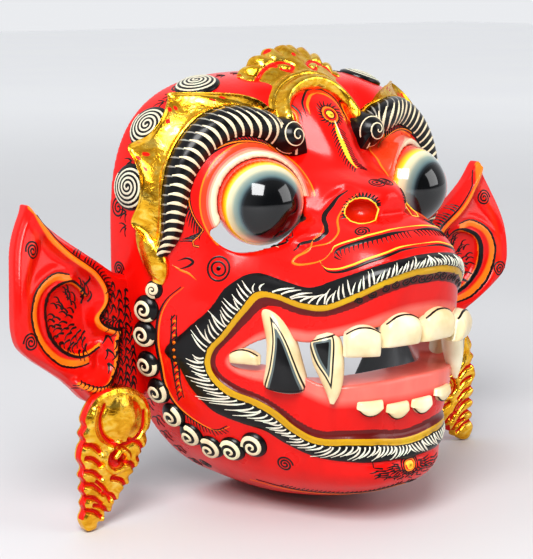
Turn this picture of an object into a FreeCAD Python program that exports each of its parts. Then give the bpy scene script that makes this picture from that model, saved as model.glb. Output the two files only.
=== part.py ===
import FreeCAD, Part
import math
import os

# Carved and painted wooden demon mask with separate ears, gilded crown, teeth, eyes and ear pendants.
# Millimetres. +Z is up, the face looks along -Y, and the mask stands at Z = 0 on its chin and pendant tips.
# Paired pieces are modelled on the +X side, which is the mask's own left, and mirrored for the right.
# The pieces are drawn from a plane through the ears, then moved so that the origin is under the middle of the depth.

VEC = FreeCAD.Vector
FRONT = VEC(0, -1, 0)
UP = VEC(0, 0, 1)

DEPTH_MIDDLE_Y = -47.4     # half way between the front teeth and the back rim, as drawn

# head
RIM_Y = 9.5                # plane of the flat back rim
HEAD_CENTRE_Z = 118.0      # height that the rim outline is drawn about
HEAD_HALF_WIDTH = 88.0
HEAD_ABOVE = 80.0          # rim outline above its centre
HEAD_BELOW = 119.0         # rim outline below its centre, before the chin is cut flat
ROUNDNESS_ABOVE = 3.3      # superellipse powers of the rim outline
ROUNDNESS_BELOW = 2.15
WALL = 9.0
SKIN_CELLS = 36            # cells along each side of a skin surface

# relief of the face, measured forward from the rim plane
BROW_RELIEF = 60.0
MUZZLE_RELIEF = 56.0
MUZZLE_HALF_WIDTH = 57.0
MUZZLE_WAIST = 16.0        # the muzzle is this much narrower under the eyes
MUZZLE_TOP_Z = 135.5
NOSE_RELIEF = 26.0
NOSE_Z = 146.0
NOSE_HALF_WIDTH = 19.0
LIP_DIP = 8.0              # the lower lip stands back from the upper
CHIN_RELIEF = 8.0

# mouth
MOUTH_HALF_WIDTH = 60.0
MOUTH_CORNER_Z = 76.0
MOUTH_TOP_Z = 93.0
MOUTH_BOTTOM_Z = 64.0
DENTAL_FRONT_Y = -104.0
DENTAL_CURVE = 0.0046      # the tooth row sits at y = front + curve * x^2 + hook * x^4
DENTAL_HOOK = 3.6e-6
LOWER_ROW_BACK = 4.0
LIP_WALL = 24.0            # the wood is this thick where it carries the teeth
LIP_MARGIN = 13.0

# eyes
EYE_X = 43.5
EYE_Y = -44.0
EYE_Z = 144.0
EYE_RADIUS = 19.5
EYE_SEAT = 5.0             # depth that an eye is let into the wood
SLIT_RADIUS = 23.0
SLIT_DROP = 3.6
SLIT_UNDERCUT = 1.0        # the slit reaches this far in under the eye
SLIT_HALF_WIDTH = 17.0
SLIT_TOP_Z = 135.0

# applied pieces
BROW_RISE = 6.5
CROWN_FRONT_Y = -40.0
CROWN_BACK_Y = -4.0
CROWN_THICKNESS = 3.5
CROWN_GAP = 1.0            # between a disc and the hollow of the crown round it
CROWN_FOOT_Z = 108.0       # the band ends in a narrow foot at the temple
CROWN_FOOT_Y = -13.0
CREST_TOP_Z = 208.0
CREST_LEAN = 48.0          # degrees that the crest leans back
CREST_DEPTH = 11.0
CURL_RADIUS = 5.8
CURL_STOPS = ((-9, -18), (-15, -13), (-22.5, -10), (-31.5, -9), (-39, -11), (-46, -14.5), (-52, -20),
              (-56, -29), (-57.5, -40), (-58, -51))      # direction in degrees and depth of each curl
DISC_RADIUS = 10.5
DISC_RISE = 4.0
DISC_Y = -9.0
DISC_DEGREES = (57.0, 38.0, 20.5)
DISC_LEAN = -0.2

# ears and pendants
EAR_DEPTH = 12.0
EAR_DISH = 5.0
EAR_ROOT_Y = 1.0           # front face of the ear where it meets the head
EAR_TURN = 9.0             # degrees that the ear turns forward towards its outer edge
PEG_RADIUS = 2.8
PEG_LENGTH = 30.0
PEG_Z = 84.0
PENDANT_DEPTH = 5.0
PENDANT_Y = -15.5
PENDANT_TOP_Z = 62.0
PIN_RADIUS = 1.4
PIN_LENGTH = 18.0


def rim_radius(angle, inset):
    """Distance from the outline's centre to the rim in one direction of the XZ plane."""
    c = abs(math.cos(angle)) / (HEAD_HALF_WIDTH - inset)
    if math.sin(angle) > 0:
        power = ROUNDNESS_ABOVE
        s = math.sin(angle) / (HEAD_ABOVE - inset)
    else:
        power = ROUNDNESS_BELOW
        s = -math.sin(angle) / (HEAD_BELOW - inset)
    return (c ** power + s ** power) ** (-1.0 / power)


def bump(offset, half_width, power=2.0):
    """A smooth hump of height 1 that has fallen to 0.37 at half_width."""
    return math.exp(-(abs(offset) / half_width) ** power)


def step_down(z, edge, softness):
    """1 well below the edge and 0 well above it."""
    return 0.5 - 0.5 * math.tanh((z - edge) / softness)


def relief(x, z, inset):
    """How far the face stands forward of the rim plane before its edges turn back."""
    muzzle_width = MUZZLE_HALF_WIDTH - MUZZLE_WAIST * (1.0 - step_down(z, 112.0, 9.0))
    depth = BROW_RELIEF - 6.0 * bump(x, 34.0) * (1.0 - step_down(z, 172.0, 7.0))
    depth += MUZZLE_RELIEF * bump(x, muzzle_width, 4.0) * step_down(z, MUZZLE_TOP_Z - 0.7 * inset, 7.0)
    depth += (NOSE_RELIEF - inset) * bump(x, NOSE_HALF_WIDTH, 2.6) * bump(z - NOSE_Z, 11.0)
    depth += 8.0 * bump(x, 15.0) * bump(z - 160.0, 13.0)
    depth -= LIP_DIP * bump(z - 52.0, 18.0) * bump(x, MUZZLE_HALF_WIDTH, 4.0)
    depth += CHIN_RELIEF * step_down(z, 24.0, 7.0) * bump(x, 40.0, 4.0)
    return depth


def fall_power(angle):
    """How square the turn from the face to the rim is, by direction."""
    s = math.sin(angle)
    if s > 0:
        return 2.3 + 0.8 * s ** 6
    return 2.3 + 2.2 * abs(s) ** 3


def skin_point(u, v, inset):
    """A point of the head's skin, for u across and v up from -1 to 1."""
    a = u * math.sqrt(1.0 - v * v / 2.0)
    b = v * math.sqrt(1.0 - u * u / 2.0)
    angle = math.atan2(b, a)
    turn = math.hypot(a, b) * math.pi / 2.0
    on_rim = max(abs(u), abs(v)) > 1.0 - 1e-9
    power = fall_power(angle)
    radius = rim_radius(angle, inset) * math.sin(turn) ** (2.0 / power)
    x = radius * math.cos(angle)
    z = HEAD_CENTRE_Z + radius * math.sin(angle)
    forward = 0.0 if on_rim else (relief(x, z, inset) - inset) * math.cos(turn) ** (2.0 / power)
    return VEC(x, RIM_Y - forward, z)


def flank_point(angle, y):
    """The point of the head's skin in one direction of the XZ plane, at a depth behind the face."""
    power = fall_power(angle)
    share = 1.0
    for _ in range(6):
        radius = rim_radius(angle, 0.0) * share
        x = radius * math.cos(angle)
        z = HEAD_CENTRE_Z + radius * math.sin(angle)
        reach = min((RIM_Y - y) / relief(x, z, 0.0), 0.99)
        share = (1.0 - reach ** power) ** (1.0 / power)
    return VEC(x, y, z)


def head_solid(inset):
    """The head's form, filled to the rim plane. A negative inset gives a larger one."""
    steps = [-1.0 + 2.0 * i / SKIN_CELLS for i in range(SKIN_CELLS + 1)]
    surface = Part.BSplineSurface()
    surface.interpolate([[skin_point(u, v, inset) for v in steps] for u in steps])
    skin = surface.toShape()
    rim_plane = Part.Plane(VEC(0, RIM_Y, 0), VEC(0, 1, 0))
    back = Part.Face(rim_plane, Part.Wire(Part.__sortEdges__(skin.Edges)))
    back.validate()
    solid = Part.Solid(Part.makeShell([skin, back]))
    if solid.Volume < 0:
        solid.reverse()
    return solid


def mirrored(shape):
    return shape.mirror(VEC(0, 0, 0), VEC(1, 0, 0))


def outline_face(edges):
    return Part.Face(Part.Wire(edges))


def arc(start, middle, end):
    return Part.Arc(start, middle, end).toShape()


def line(start, end):
    return Part.LineSegment(start, end).toShape()


def spline(points):
    curve = Part.BSplineCurve()
    curve.interpolate(points)
    return curve.toShape()


def at(x, z, y=0.0):
    return VEC(x, y, z)


def prism(edges, y_front, y_back):
    """A plate with an outline drawn in the XZ plane, between two depths."""
    face = outline_face(edges)
    face.translate(VEC(0, y_front, 0))
    return face.extrude(VEC(0, y_back - y_front, 0))


def biggest(shape):
    return max(shape.Solids, key=lambda s: s.Volume)


def dental_y(x):
    return DENTAL_FRONT_Y + DENTAL_CURVE * x ** 2 + DENTAL_HOOK * x ** 4


def dental_turn(x):
    """Degrees that a tooth at x turns to face out of the row."""
    return math.degrees(math.atan(2.0 * DENTAL_CURVE * x + 4.0 * DENTAL_HOOK * x ** 3))


def tooth_block(x, z, width, height, depth, rounding, set_back=0.0):
    """One tooth with rounded edges, centred at x and z on the tooth row or a set distance behind it."""
    block = Part.makeBox(width, depth, height, VEC(-width / 2.0, 0, -height / 2.0))
    block = block.makeFillet(rounding, block.Edges)
    block.rotate(VEC(0, 0, 0), UP, dental_turn(x))
    block.translate(VEC(x, dental_y(x) + set_back, z))
    return block


def horn(stations):
    """A curved horn lofted through round stations given as (centre, direction, radius)."""
    wires = []
    for centre, direction, radius in stations:
        wires.append(Part.Wire(Part.makeCircle(radius, centre, direction)))
    return Part.makeLoft(wires, True, False)


def mouth_prism(margin, y_front, y_back):
    """The mouth's outline, widened by a margin, between two depths."""
    top_z = MOUTH_TOP_Z + margin
    low_z = MOUTH_BOTTOM_Z - margin
    corner = MOUTH_HALF_WIDTH + margin
    upper = spline([at(-corner, MOUTH_CORNER_Z), at(-40, top_z - 3), at(0, top_z),
                    at(40, top_z - 3), at(corner, MOUTH_CORNER_Z)])
    lower = spline([at(corner, MOUTH_CORNER_Z), at(42, low_z + 2), at(0, low_z),
                    at(-42, low_z + 2), at(-corner, MOUTH_CORNER_Z)])
    return prism([upper, lower], y_front, y_back)


def eye_ball():
    return Part.makeSphere(EYE_RADIUS, VEC(EYE_X, EYE_Y, EYE_Z))


def slit_cutter():
    """The crescent gap under an eye that the wearer looks through."""
    start = VEC(EYE_X, -90, EYE_Z - SLIT_DROP)
    disc = Part.makeCylinder(SLIT_RADIUS, 100, start, VEC(0, 1, 0))
    core = Part.makeCylinder(EYE_RADIUS - SLIT_UNDERCUT, 100, VEC(EYE_X, -90, EYE_Z), VEC(0, 1, 0))
    window = Part.makeBox(2 * SLIT_HALF_WIDTH, 100, SLIT_TOP_Z, VEC(EYE_X - SLIT_HALF_WIDTH, -90, 0))
    return disc.cut(core).common(window)


def brow_outline():
    outer = spline([at(13, 176), at(30, 182), at(53, 183.5), at(70, 174.5), at(79.5, 158.5), at(83, 140), at(82, 120)])
    inner = spline([at(77, 120), at(75, 140), at(70, 156), at(59, 167), at(45, 171), at(32, 170), at(23, 166)])
    return [outer, line(at(82, 120), at(77, 120)), inner, line(at(23, 166), at(13, 176))]


def make_brow(head, grown):
    brow = prism(brow_outline(), -80.0, -17.0).common(grown).cut(head)
    scroll = Part.makeCylinder(7.5, 22.0, VEC(20, -52.0, 174), VEC(0, 1, 0)).cut(head)
    return biggest(brow.fuse(scroll).removeSplitter())


def outward_at(degrees):
    angle = math.radians(degrees)
    return VEC(math.cos(angle), DISC_LEAN, math.sin(angle)).normalize()


def make_crown_band(head, brow):
    """A band laid over the head behind a brow, hollowed round each disc so that cusps stand between them."""
    cover = head_solid(-CROWN_THICKNESS).cut(head)
    sector = Part.makeBox(80, CROWN_BACK_Y - CROWN_FRONT_Y, 110, VEC(30, CROWN_FRONT_Y, CROWN_FOOT_Z))
    face = [brow_outline()[0], line(at(82, 120), at(80, 100)), line(at(80, 100), at(0, 100)),
            line(at(0, 100), at(0, 176)), line(at(0, 176), at(13, 176))]
    band = cover.common(sector).cut(prism(face, -80.0, 20.0)).cut(brow)
    for degrees in DISC_DEGREES:
        centre = flank_point(math.radians(degrees), DISC_Y)
        outward = outward_at(degrees)
        band = band.cut(Part.makeCylinder(DISC_RADIUS + CROWN_GAP, 40.0, centre - outward * 20.0, outward))
    foot_stop = Part.makeBox(80, 40, 40, VEC(30, CROWN_FOOT_Y, CROWN_FOOT_Z - 10))
    return biggest(band.cut(foot_stop))


def crest_outline():
    """A pointed leaf over a double arch, open below round the forehead jewel."""
    outer = [arc(at(-33, 176), at(-33, 192), at(-24, 199)),
             arc(at(-24, 199), at(-19, 208), at(-12, 212)),
             arc(at(-12, 212), at(-8, 220), at(0, 226)),
             arc(at(0, 226), at(8, 220), at(12, 212)),
             arc(at(12, 212), at(19, 208), at(24, 199)),
             arc(at(24, 199), at(33, 192), at(33, 176))]
    inner = spline([at(26, 176), at(18, 192), at(0, 203), at(-18, 192), at(-26, 176)])
    return outer + [line(at(33, 176), at(26, 176)), inner, line(at(-26, 176), at(-33, 176))]


def make_crest(head, brows):
    plate = prism(crest_outline(), -46.0, -46.0 + CREST_DEPTH)
    plate.rotate(VEC(0, -40.0, 176), VEC(1, 0, 0), -CREST_LEAN)
    low_stop = Part.makeBox(200, 200, 60, VEC(-100, -100, CREST_TOP_Z))
    return biggest(plate.cut(low_stop).cut(head).cut(brows))


def make_disc(head, centre, outward):
    """A low domed disc set against the head, facing outward."""
    flank = centre - outward * 8.0
    stud = Part.makeCylinder(DISC_RADIUS, 8.0 + DISC_RISE, flank, outward)
    rim_edges = [e for e in stud.Edges if e.Closed and (e.CenterOfMass - centre).dot(outward) > 0]
    return biggest(stud.makeFillet(DISC_RISE * 0.8, rim_edges).cut(head))


def make_temple_discs(head, crown):
    discs = []
    for degrees in DISC_DEGREES:
        centre = flank_point(math.radians(degrees), DISC_Y)
        discs.append(make_disc(head, centre, outward_at(degrees)).cut(crown))
    return Part.makeCompound(discs)


def make_jaw_curls(head, ear):
    """A row of round beads that follows the jaw from behind the ear to the chin."""
    beads = []
    for degrees, y in CURL_STOPS:
        centre = flank_point(math.radians(degrees), y)
        beads.append(biggest(Part.makeSphere(CURL_RADIUS, centre).cut(head).cut(ear)))
    return Part.makeCompound(beads)


def ear_outline(inset):
    """Leaf outline with a pointed tip above, a full outer edge and a narrow root on the head."""
    tip = at(134.5 - inset, 145.5 - 2.2 * inset)
    outer = spline([tip, at(142 - inset, 122), at(146.5 - inset, 97), at(139 - inset, 73 + inset / 2.0),
                    at(113, 58 + inset), at(92 + inset, 55 + inset)])
    foot = at(92 + inset, 55 + inset)
    root_low = at(70 + 1.6 * inset, 62 + inset)
    root_high = at(70 + 1.6 * inset, 104 - inset)
    return [outer, line(foot, root_low), line(root_low, root_high), line(root_high, tip)]


def make_ear(head):
    ear = prism(ear_outline(0.0), 0.0, EAR_DEPTH)
    dish = prism(ear_outline(9.0), -1.0, EAR_DISH)
    ear = ear.cut(dish)
    ear.rotate(VEC(86, 0, 0), UP, -EAR_TURN)
    ear.translate(VEC(0, EAR_ROOT_Y - EAR_DEPTH / 2.0, 0))
    back_stop = Part.makeBox(400, 60, 400, VEC(-200, RIM_Y, -50))
    return biggest(ear.cut(head).cut(back_stop))


def make_ear_peg():
    """The hidden dowel that carries an ear on the side of the head."""
    return Part.makeCylinder(PEG_RADIUS, PEG_LENGTH, VEC(76, 5.2, PEG_Z), VEC(1, -0.158, 0))


def make_pendant():
    """A gilded leaf that hangs from the ear and stands on its own tip."""
    tip_right = at(119.2, 0)
    tip_left = at(116.6, 0)
    outline = [spline([at(112, PENDANT_TOP_Z), at(119.5, 56), at(120.5, 40), at(121, 22), tip_right]),
               line(tip_right, tip_left),
               spline([tip_left, at(104, 8.5), at(90.5, 22.5), at(84, 40), at(88, 55), at(98, PENDANT_TOP_Z)]),
               line(at(98, PENDANT_TOP_Z), at(112, PENDANT_TOP_Z))]
    leaf = prism(outline, PENDANT_Y, PENDANT_Y + PENDANT_DEPTH)
    boss = Part.makeCylinder(6.0, 2.0, VEC(97, PENDANT_Y - 2.0, 46), VEC(0, 1, 0))
    return leaf.fuse(boss).removeSplitter()


def make_pendant_pin():
    """A thin pin from the pendant up into the foot of the ear."""
    middle_y = PENDANT_Y + PENDANT_DEPTH / 2.0
    return Part.makeCylinder(PIN_RADIUS, PIN_LENGTH, VEC(106, middle_y, PENDANT_TOP_Z - PIN_LENGTH / 2.0), UP)


def make_fang():
    down = VEC(0, 0, -1)
    return horn([(VEC(37.5, -84.5, 94), down, 6.6), (VEC(37.8, -85.5, 83), down, 6.6),
                 (VEC(38.0, -87.0, 71), down, 4.4), (VEC(36.8, -86.0, 58.6), VEC(-0.15, 0.2, -1), 0.9)])


def make_tusk():
    return horn([(VEC(49.0, -69.0, 56), UP, 6.2), (VEC(51.0, -68.5, 68), VEC(0.1, 0.1, 1), 6.4),
                 (VEC(52.0, -64.5, 82), VEC(0.0, 0.4, 1), 4.8), (VEC(50.0, -54.5, 96), VEC(-0.2, 0.7, 1), 1.0)])


def make_teeth():
    """Every tooth of the +X side, by node name without its side."""
    return {
        "upper_central_incisor": tooth_block(10.3, 92.5, 18.6, 15.0, 8.0, 2.4),
        "upper_lateral_incisor": tooth_block(27.6, 91.5, 14.6, 14.0, 8.0, 2.2),
        "upper_fang": make_fang(),
        "upper_molar": tooth_block(56.5, 82.0, 9.0, 12.0, 7.0, 2.0),
        "lower_tusk": make_tusk(),
        "lower_central_tooth": tooth_block(6.6, 59.0, 12.0, 14.0, 7.0, 2.2, LOWER_ROW_BACK),
        "lower_lateral_tooth": tooth_block(19.6, 59.5, 12.0, 13.0, 7.0, 2.2, LOWER_ROW_BACK),
    }


def both_sides(name, shape):
    return {name + "_left": shape, name + "_right": mirrored(shape)}


def build_parts():
    head = head_solid(0.0)
    grown = head_solid(-BROW_RISE)
    ground = Part.makeBox(400, 300, 60, VEC(-200, -200, -60))
    parts = {}

    lips = mouth_prism(LIP_MARGIN, -140.0, 0.0)
    shell = head.cut(head_solid(WALL).cut(lips)).cut(head_solid(LIP_WALL))
    shell = shell.cut(ground).cut(mouth_prism(0.0, -140.0, -12.0))
    slit = slit_cutter()
    shell = shell.cut(slit).cut(mirrored(slit))

    pieces = {"eye": eye_ball().cut(head_solid(EYE_SEAT))}
    pieces["brow"] = make_brow(head, grown).cut(pieces["eye"])
    brows = pieces["brow"].fuse(mirrored(pieces["brow"]))
    crest = make_crest(head, brows)
    pieces["crown_band"] = biggest(make_crown_band(head, pieces["brow"]).cut(crest))
    pieces["temple_discs"] = make_temple_discs(head, pieces["crown_band"])
    peg = make_ear_peg()
    pin = make_pendant_pin()
    ear = make_ear(head).cut(pieces["crown_band"])
    pieces["jaw_curls"] = make_jaw_curls(head, ear)
    pendant = make_pendant()
    ear = ear.cut(pendant)
    pieces["ear"] = biggest(ear.cut(peg).cut(pin))
    pieces["ear_peg"] = peg
    pieces["ear_pendant"] = pendant.cut(pin)
    pieces["pendant_pin"] = pin
    pieces.update(make_teeth())

    let_in = ["eye", "ear_peg"] + sorted(make_teeth())
    for name in let_in:
        shell = shell.cut(pieces[name]).cut(mirrored(pieces[name]))
    parts["face_shell"] = biggest(shell)
    parts["crown_crest"] = crest
    for name, shape in pieces.items():
        parts.update(both_sides(name, shape))
    for shape in parts.values():
        shape.translate(VEC(0, -DEPTH_MIDDLE_Y, 0))
    return parts


def main():
    os.makedirs("parts", exist_ok=True)
    for name, shape in sorted(build_parts().items()):
        box = shape.BoundBox
        print("%-30s solids %d valid %s volume %9.1f x %.1f %.1f y %.1f %.1f z %.1f %.1f" % (
            name, len(shape.Solids), shape.isValid(), shape.Volume,
            box.XMin, box.XMax, box.YMin, box.YMax, box.ZMin, box.ZMax))
        shape.exportStep("parts/%s.step" % name)


main()
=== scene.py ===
import math
import bpy
import numpy as np
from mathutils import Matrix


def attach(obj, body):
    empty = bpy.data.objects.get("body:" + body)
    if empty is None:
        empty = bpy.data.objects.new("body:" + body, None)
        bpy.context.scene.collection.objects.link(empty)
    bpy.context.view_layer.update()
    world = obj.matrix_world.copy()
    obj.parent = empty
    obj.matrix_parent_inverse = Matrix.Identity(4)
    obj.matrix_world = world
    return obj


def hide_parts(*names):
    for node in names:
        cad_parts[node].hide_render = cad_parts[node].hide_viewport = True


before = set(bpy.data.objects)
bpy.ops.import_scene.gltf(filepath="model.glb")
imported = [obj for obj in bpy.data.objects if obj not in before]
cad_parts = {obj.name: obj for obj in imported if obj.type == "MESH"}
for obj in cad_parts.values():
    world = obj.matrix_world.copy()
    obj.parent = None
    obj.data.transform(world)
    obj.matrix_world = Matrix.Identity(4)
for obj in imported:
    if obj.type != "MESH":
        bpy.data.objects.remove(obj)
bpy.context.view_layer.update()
import openvdb as vdb
from mathutils import Vector
from mathutils.bvhtree import BVHTree

# Carved and painted wooden demon mask.
# Shapes are drawn in millimetres on the mask's own left (+X) and mirrored.
# The drawn frame has the same axes as the CAD; DEPTH_SHIFT moves its origin to the middle of the depth.
DEPTH_SHIFT = 47.4
RNG = np.random.default_rng(7)

# camera
AZIMUTH = math.radians(38.0)
ELEVATION = math.radians(10.7)
DISTANCE = 0.7898
TARGET = Vector((0.0077, 0.06395, 0.0941))
LENS = 102.72

# ---- form of the head, in millimetres as drawn
RIM_Y = 9.5
CENTRE_Z = 118.0
HALF_WIDTH = 88.0
ABOVE = 80.0
BELOW = 119.0

# the face in side view on the middle plane: height and depth of each turn of the profile
PROFILE = ((190, -29), (180.4, -40), (172, -46.5), (166.8, -50.5), (160, -55), (156, -59), (154.3, -67),
           (151.6, -76.5), (148, -80.5), (144, -82), (140.7, -82), (137.5, -85.5), (135, -91), (132, -96.5),
           (127.7, -101.5), (124, -104.5), (118, -106.5), (112, -106.5), (104, -104.5), (96, -102),
           (86, -100), (78, -98.5), (68, -98), (57, -98), (50, -97), (43, -95.5), (38, -94.5), (30, -94.5),
           (25, -95), (20, -92), (15, -85), (10.5, -75), (7, -63), (4, -48), (0, -30))
# how far the middle form reaches sideways, and how squarely it ends
SPREAD = ((200, 30, 2.0), (188, 22, 2.0), (176, 18, 2.0), (166, 16.5, 2.0), (157, 17, 2.4), (146, 19, 2.8),
          (139, 27, 3.0), (133, 37, 3.6), (122, 43, 4.0), (112, 50, 4.0), (100, 57, 4.0), (60, 57, 4.0),
          (30, 52, 3.6), (8, 46, 3.0))


def bump(offset, half_width, power=2.0):
    return np.exp(-(np.abs(offset) / half_width) ** power)


def step_up(value, edge, softness):
    return 0.5 + 0.5 * np.tanh((value - edge) / softness)


def smooth_table(heights, values, softness=1.6):
    """A table of values against height, rounded so that it has no corners."""
    fine = np.arange(-30.0, 240.0, 0.25)
    order = np.argsort(heights)
    plain = np.interp(fine, np.asarray(heights, float)[order], np.asarray(values, float)[order])
    reach = np.arange(-24, 25) * 0.25
    kernel = np.exp(-(reach / softness) ** 2)
    rounded = np.convolve(np.pad(plain, 24, "edge"), kernel / kernel.sum(), "valid")
    return lambda z: np.interp(z, fine, rounded)


def rim_radius(angle, inset=0.0):
    across = np.abs(np.cos(angle)) / (HALF_WIDTH - inset)
    s = np.sin(angle)
    upper = (across ** 3.3 + (np.maximum(s, 0.0) / (ABOVE - inset)) ** 3.3) ** (-1 / 3.3)
    lower = (across ** 2.15 + (np.maximum(-s, 0.0) / (BELOW - inset)) ** 2.15) ** (-1 / 2.15)
    return np.where(s > 0, upper, lower)


def fall_power(angle):
    s = np.sin(angle)
    return np.where(s > 0, 2.3 + 0.8 * s ** 6, 2.3 + 2.2 * np.abs(s) ** 3)


def fall(x, z, inset=0.0):
    """Share of the full relief that is left at a place on the face; 0 at the rim."""
    angle = np.arctan2(z - CENTRE_Z, x)
    power = fall_power(angle)
    share = np.minimum(np.hypot(x, z - CENTRE_Z) / rim_radius(angle, inset), 1.0)
    return (1.0 - share ** power) ** (1.0 / power)


def middle_relief():
    heights = np.array([p[0] for p in PROFILE], float)
    depths = np.array([RIM_Y - p[1] for p in PROFILE], float)
    return smooth_table(heights, depths / np.maximum(fall(0.0 * heights, heights), 0.2))


MIDDLE = middle_relief()
REACH = smooth_table([p[0] for p in SPREAD], [p[1] for p in SPREAD], 3.0)
SQUARE = smooth_table([p[0] for p in SPREAD], [p[2] for p in SPREAD], 3.0)


def broad_relief(x, z):
    """Forward reach of the face from the rim plane, before the edges turn back."""
    side = 60.0
    return side + (MIDDLE(z) - side) * bump(x, REACH(z), SQUARE(z))


# ---- outlines and relief of the face
# the ring of the mouth: outlines in the XZ plane from the top of the lip round the corner to the chin
BAND_OUTER = ((0, 124.3), (12, 123.6), (23, 121), (34, 115.5), (42, 110.5), (47, 112), (52, 114.6),
              (57, 112.8), (63, 106.5), (68, 96.5), (73.4, 87.8), (78.2, 77.5), (74.2, 70), (70.5, 60.5),
              (64, 50.5), (57, 46.2), (51, 43.8), (45, 38.5), (37, 33.6), (26, 32), (12, 31.6), (0, 31))
BAND_INNER = ((0, 118.8), (10, 118.4), (22, 115), (32, 108.6), (40, 103.4), (46, 103.8), (51, 106.6),
              (55.5, 106.2), (60, 98), (64, 87.3), (67.2, 80.5), (68.2, 73), (66.4, 66), (62, 59.5),
              (56, 56.2), (51, 52), (45, 44.8), (38, 40), (28, 40.3), (16, 39.6), (8, 38.2), (0, 37.5))
GOLD_INNER = ((0, 115.8), (10, 115.6), (22, 112.2), (32, 106), (40, 101), (46, 101.6), (51, 104.6),
              (55, 103.8), (58.8, 96.4), (63, 85.6), (65.8, 79.4), (66.6, 73), (64.8, 66.6), (60.5, 61.4),
              (55, 58.4), (50, 54.2), (44, 47), (37.5, 42.8), (28, 43), (16, 42.2), (8, 41), (0, 40.4))
LIP_EDGE = ((0, 111.4), (10, 111.2), (22, 107.8), (32, 102), (40, 98.2), (46, 99), (50.5, 101.4),
            (54, 99.6), (57.2, 93), (61.2, 84.5), (64, 78.5), (64.6, 73), (62.8, 67.6), (58.5, 63.2),
            (53.6, 60.2), (48.6, 55.6), (43, 49.6), (37, 46), (28, 46.6), (16, 46), (8, 44.6), (0, 43.8))
MOUTH = ((0, 95), (12, 94.6), (24, 92.6), (34, 89.4), (42, 86), (47, 86.4), (52, 86), (57, 81),
         (60.2, 75.6), (59.6, 72.6), (56, 71.2), (50, 71.6), (44, 71.4), (39, 68.2), (32, 67.4), (20, 68.2),
         (8, 68.4), (0, 68.6))
EYE = np.array((43.5, -44.0, 144.0))
EYE_RADIUS = 19.5
LID_AIM = np.array((0.407, -0.913, 0.02))


def smooth_loop(points, per_span=10):
    """A closed curve through points given for one half, mirrored across x = 0."""
    half = np.array(points, float)
    other = half[-2:0:-1] * (-1, 1)
    return smooth_curve(np.vstack((half, other)), per_span, closed=True)


def smooth_curve(points, per_span=10, closed=False):
    """A Catmull-Rom curve through points of any dimension."""
    p = np.asarray(points, float)
    if closed:
        p = np.vstack((p[-1:], p, p[:2]))
    else:
        p = np.vstack((2 * p[:1] - p[1:2], p, 2 * p[-1:] - p[-2:-1]))
    t = (np.arange(per_span) / per_span)[None, :, None]
    a, b, c, d = (p[i:len(p) - 3 + i, None] for i in range(4))
    spans = 0.5 * (2 * b + (c - a) * t + (2 * a - 5 * b + 4 * c - d) * t ** 2
                   + (3 * b - a - 3 * c + d) * t ** 3)
    curve = spans.reshape(-1, p.shape[1])
    return curve if closed else np.vstack((curve, p[-2:-1]))


def segment_distance(u, v, curve, closed=False):
    """Distance in a plane from each (u, v) to a curve."""
    u, v = np.broadcast_arrays(np.asarray(u, float), np.asarray(v, float))
    ends = np.roll(curve, -1, axis=0) if closed else curve[1:]
    best = np.full(u.shape, 1e9)
    for a, b in zip(curve, ends):
        span = b - a
        t = ((u - a[0]) * span[0] + (v - a[1]) * span[1]) / max(span @ span, 1e-9)
        t = np.clip(t, 0.0, 1.0)
        best = np.minimum(best, (u - a[0] - t * span[0]) ** 2 + (v - a[1] - t * span[1]) ** 2)
    return np.sqrt(best)


def inside_loop(u, v, loop):
    """True where (u, v) lies inside a closed curve."""
    u, v = np.broadcast_arrays(np.asarray(u, float), np.asarray(v, float))
    crossed = np.zeros(u.shape, bool)
    for a, b in zip(loop, np.roll(loop, -1, axis=0)):
        if a[1] == b[1]:
            continue
        across = a[0] + (v - a[1]) * (b[0] - a[0]) / (b[1] - a[1])
        crossed ^= ((a[1] > v) != (b[1] > v)) & (u < across)
    return crossed


def loop_distance(u, v, loop):
    """Signed distance to a closed curve, negative inside."""
    d = segment_distance(u, v, loop, closed=True)
    return np.where(inside_loop(u, v, loop), -d, d)


class PlaneMap:
    """A signed distance kept on a fine grid of the XZ plane so that it can be read quickly."""

    def __init__(self, loop, low=(-2.0, -12.0), high=(100.0, 215.0), step=0.75):
        self.low = low
        self.step = step
        xs = np.arange(low[0], high[0], step)
        zs = np.arange(low[1], high[1], step)
        self.shape = (len(xs), len(zs))
        self.values = loop_distance(xs[:, None], zs[None, :], loop)

    def __call__(self, x, z):
        i = np.clip((np.abs(x) - self.low[0]) / self.step, 0, self.shape[0] - 1.001)
        j = np.clip((z - self.low[1]) / self.step, 0, self.shape[1] - 1.001)
        i0 = i.astype(int)
        j0 = j.astype(int)
        a = i - i0
        b = j - j0
        v = self.values
        return ((v[i0, j0] * (1 - a) + v[i0 + 1, j0] * a) * (1 - b)
                + (v[i0, j0 + 1] * (1 - a) + v[i0 + 1, j0 + 1] * a) * b)


RINGS = [PlaneMap(smooth_loop(points)) for points in (BAND_OUTER, BAND_INNER, GOLD_INNER, LIP_EDGE, MOUTH)]


def ring_place(x, z):
    """Place across the ring of the mouth: 0 at the outer edge, then one more at each outline inward."""
    d = [ring(x, z) for ring in RINGS]
    place = -d[0] * 0.2
    for i in range(len(d) - 1):
        here = (d[i] < 0) & (d[i + 1] >= 0)
        share = -d[i] / np.maximum(d[i + 1] - d[i], 1e-6)
        place = np.where(here, i + share, place)
    return np.where(d[-1] < 0, 4.0 - d[-1] * 0.2, np.where(d[0] >= 0, -d[0] * 0.2, place))


def smooth_min(a, b, radius):
    h = np.clip(0.5 + 0.5 * (b - a) / radius, 0.0, 1.0)
    return b * (1 - h) + a * h - radius * h * (1 - h)


def smooth_max(a, b, radius):
    return -smooth_min(-a, -b, radius)


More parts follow.
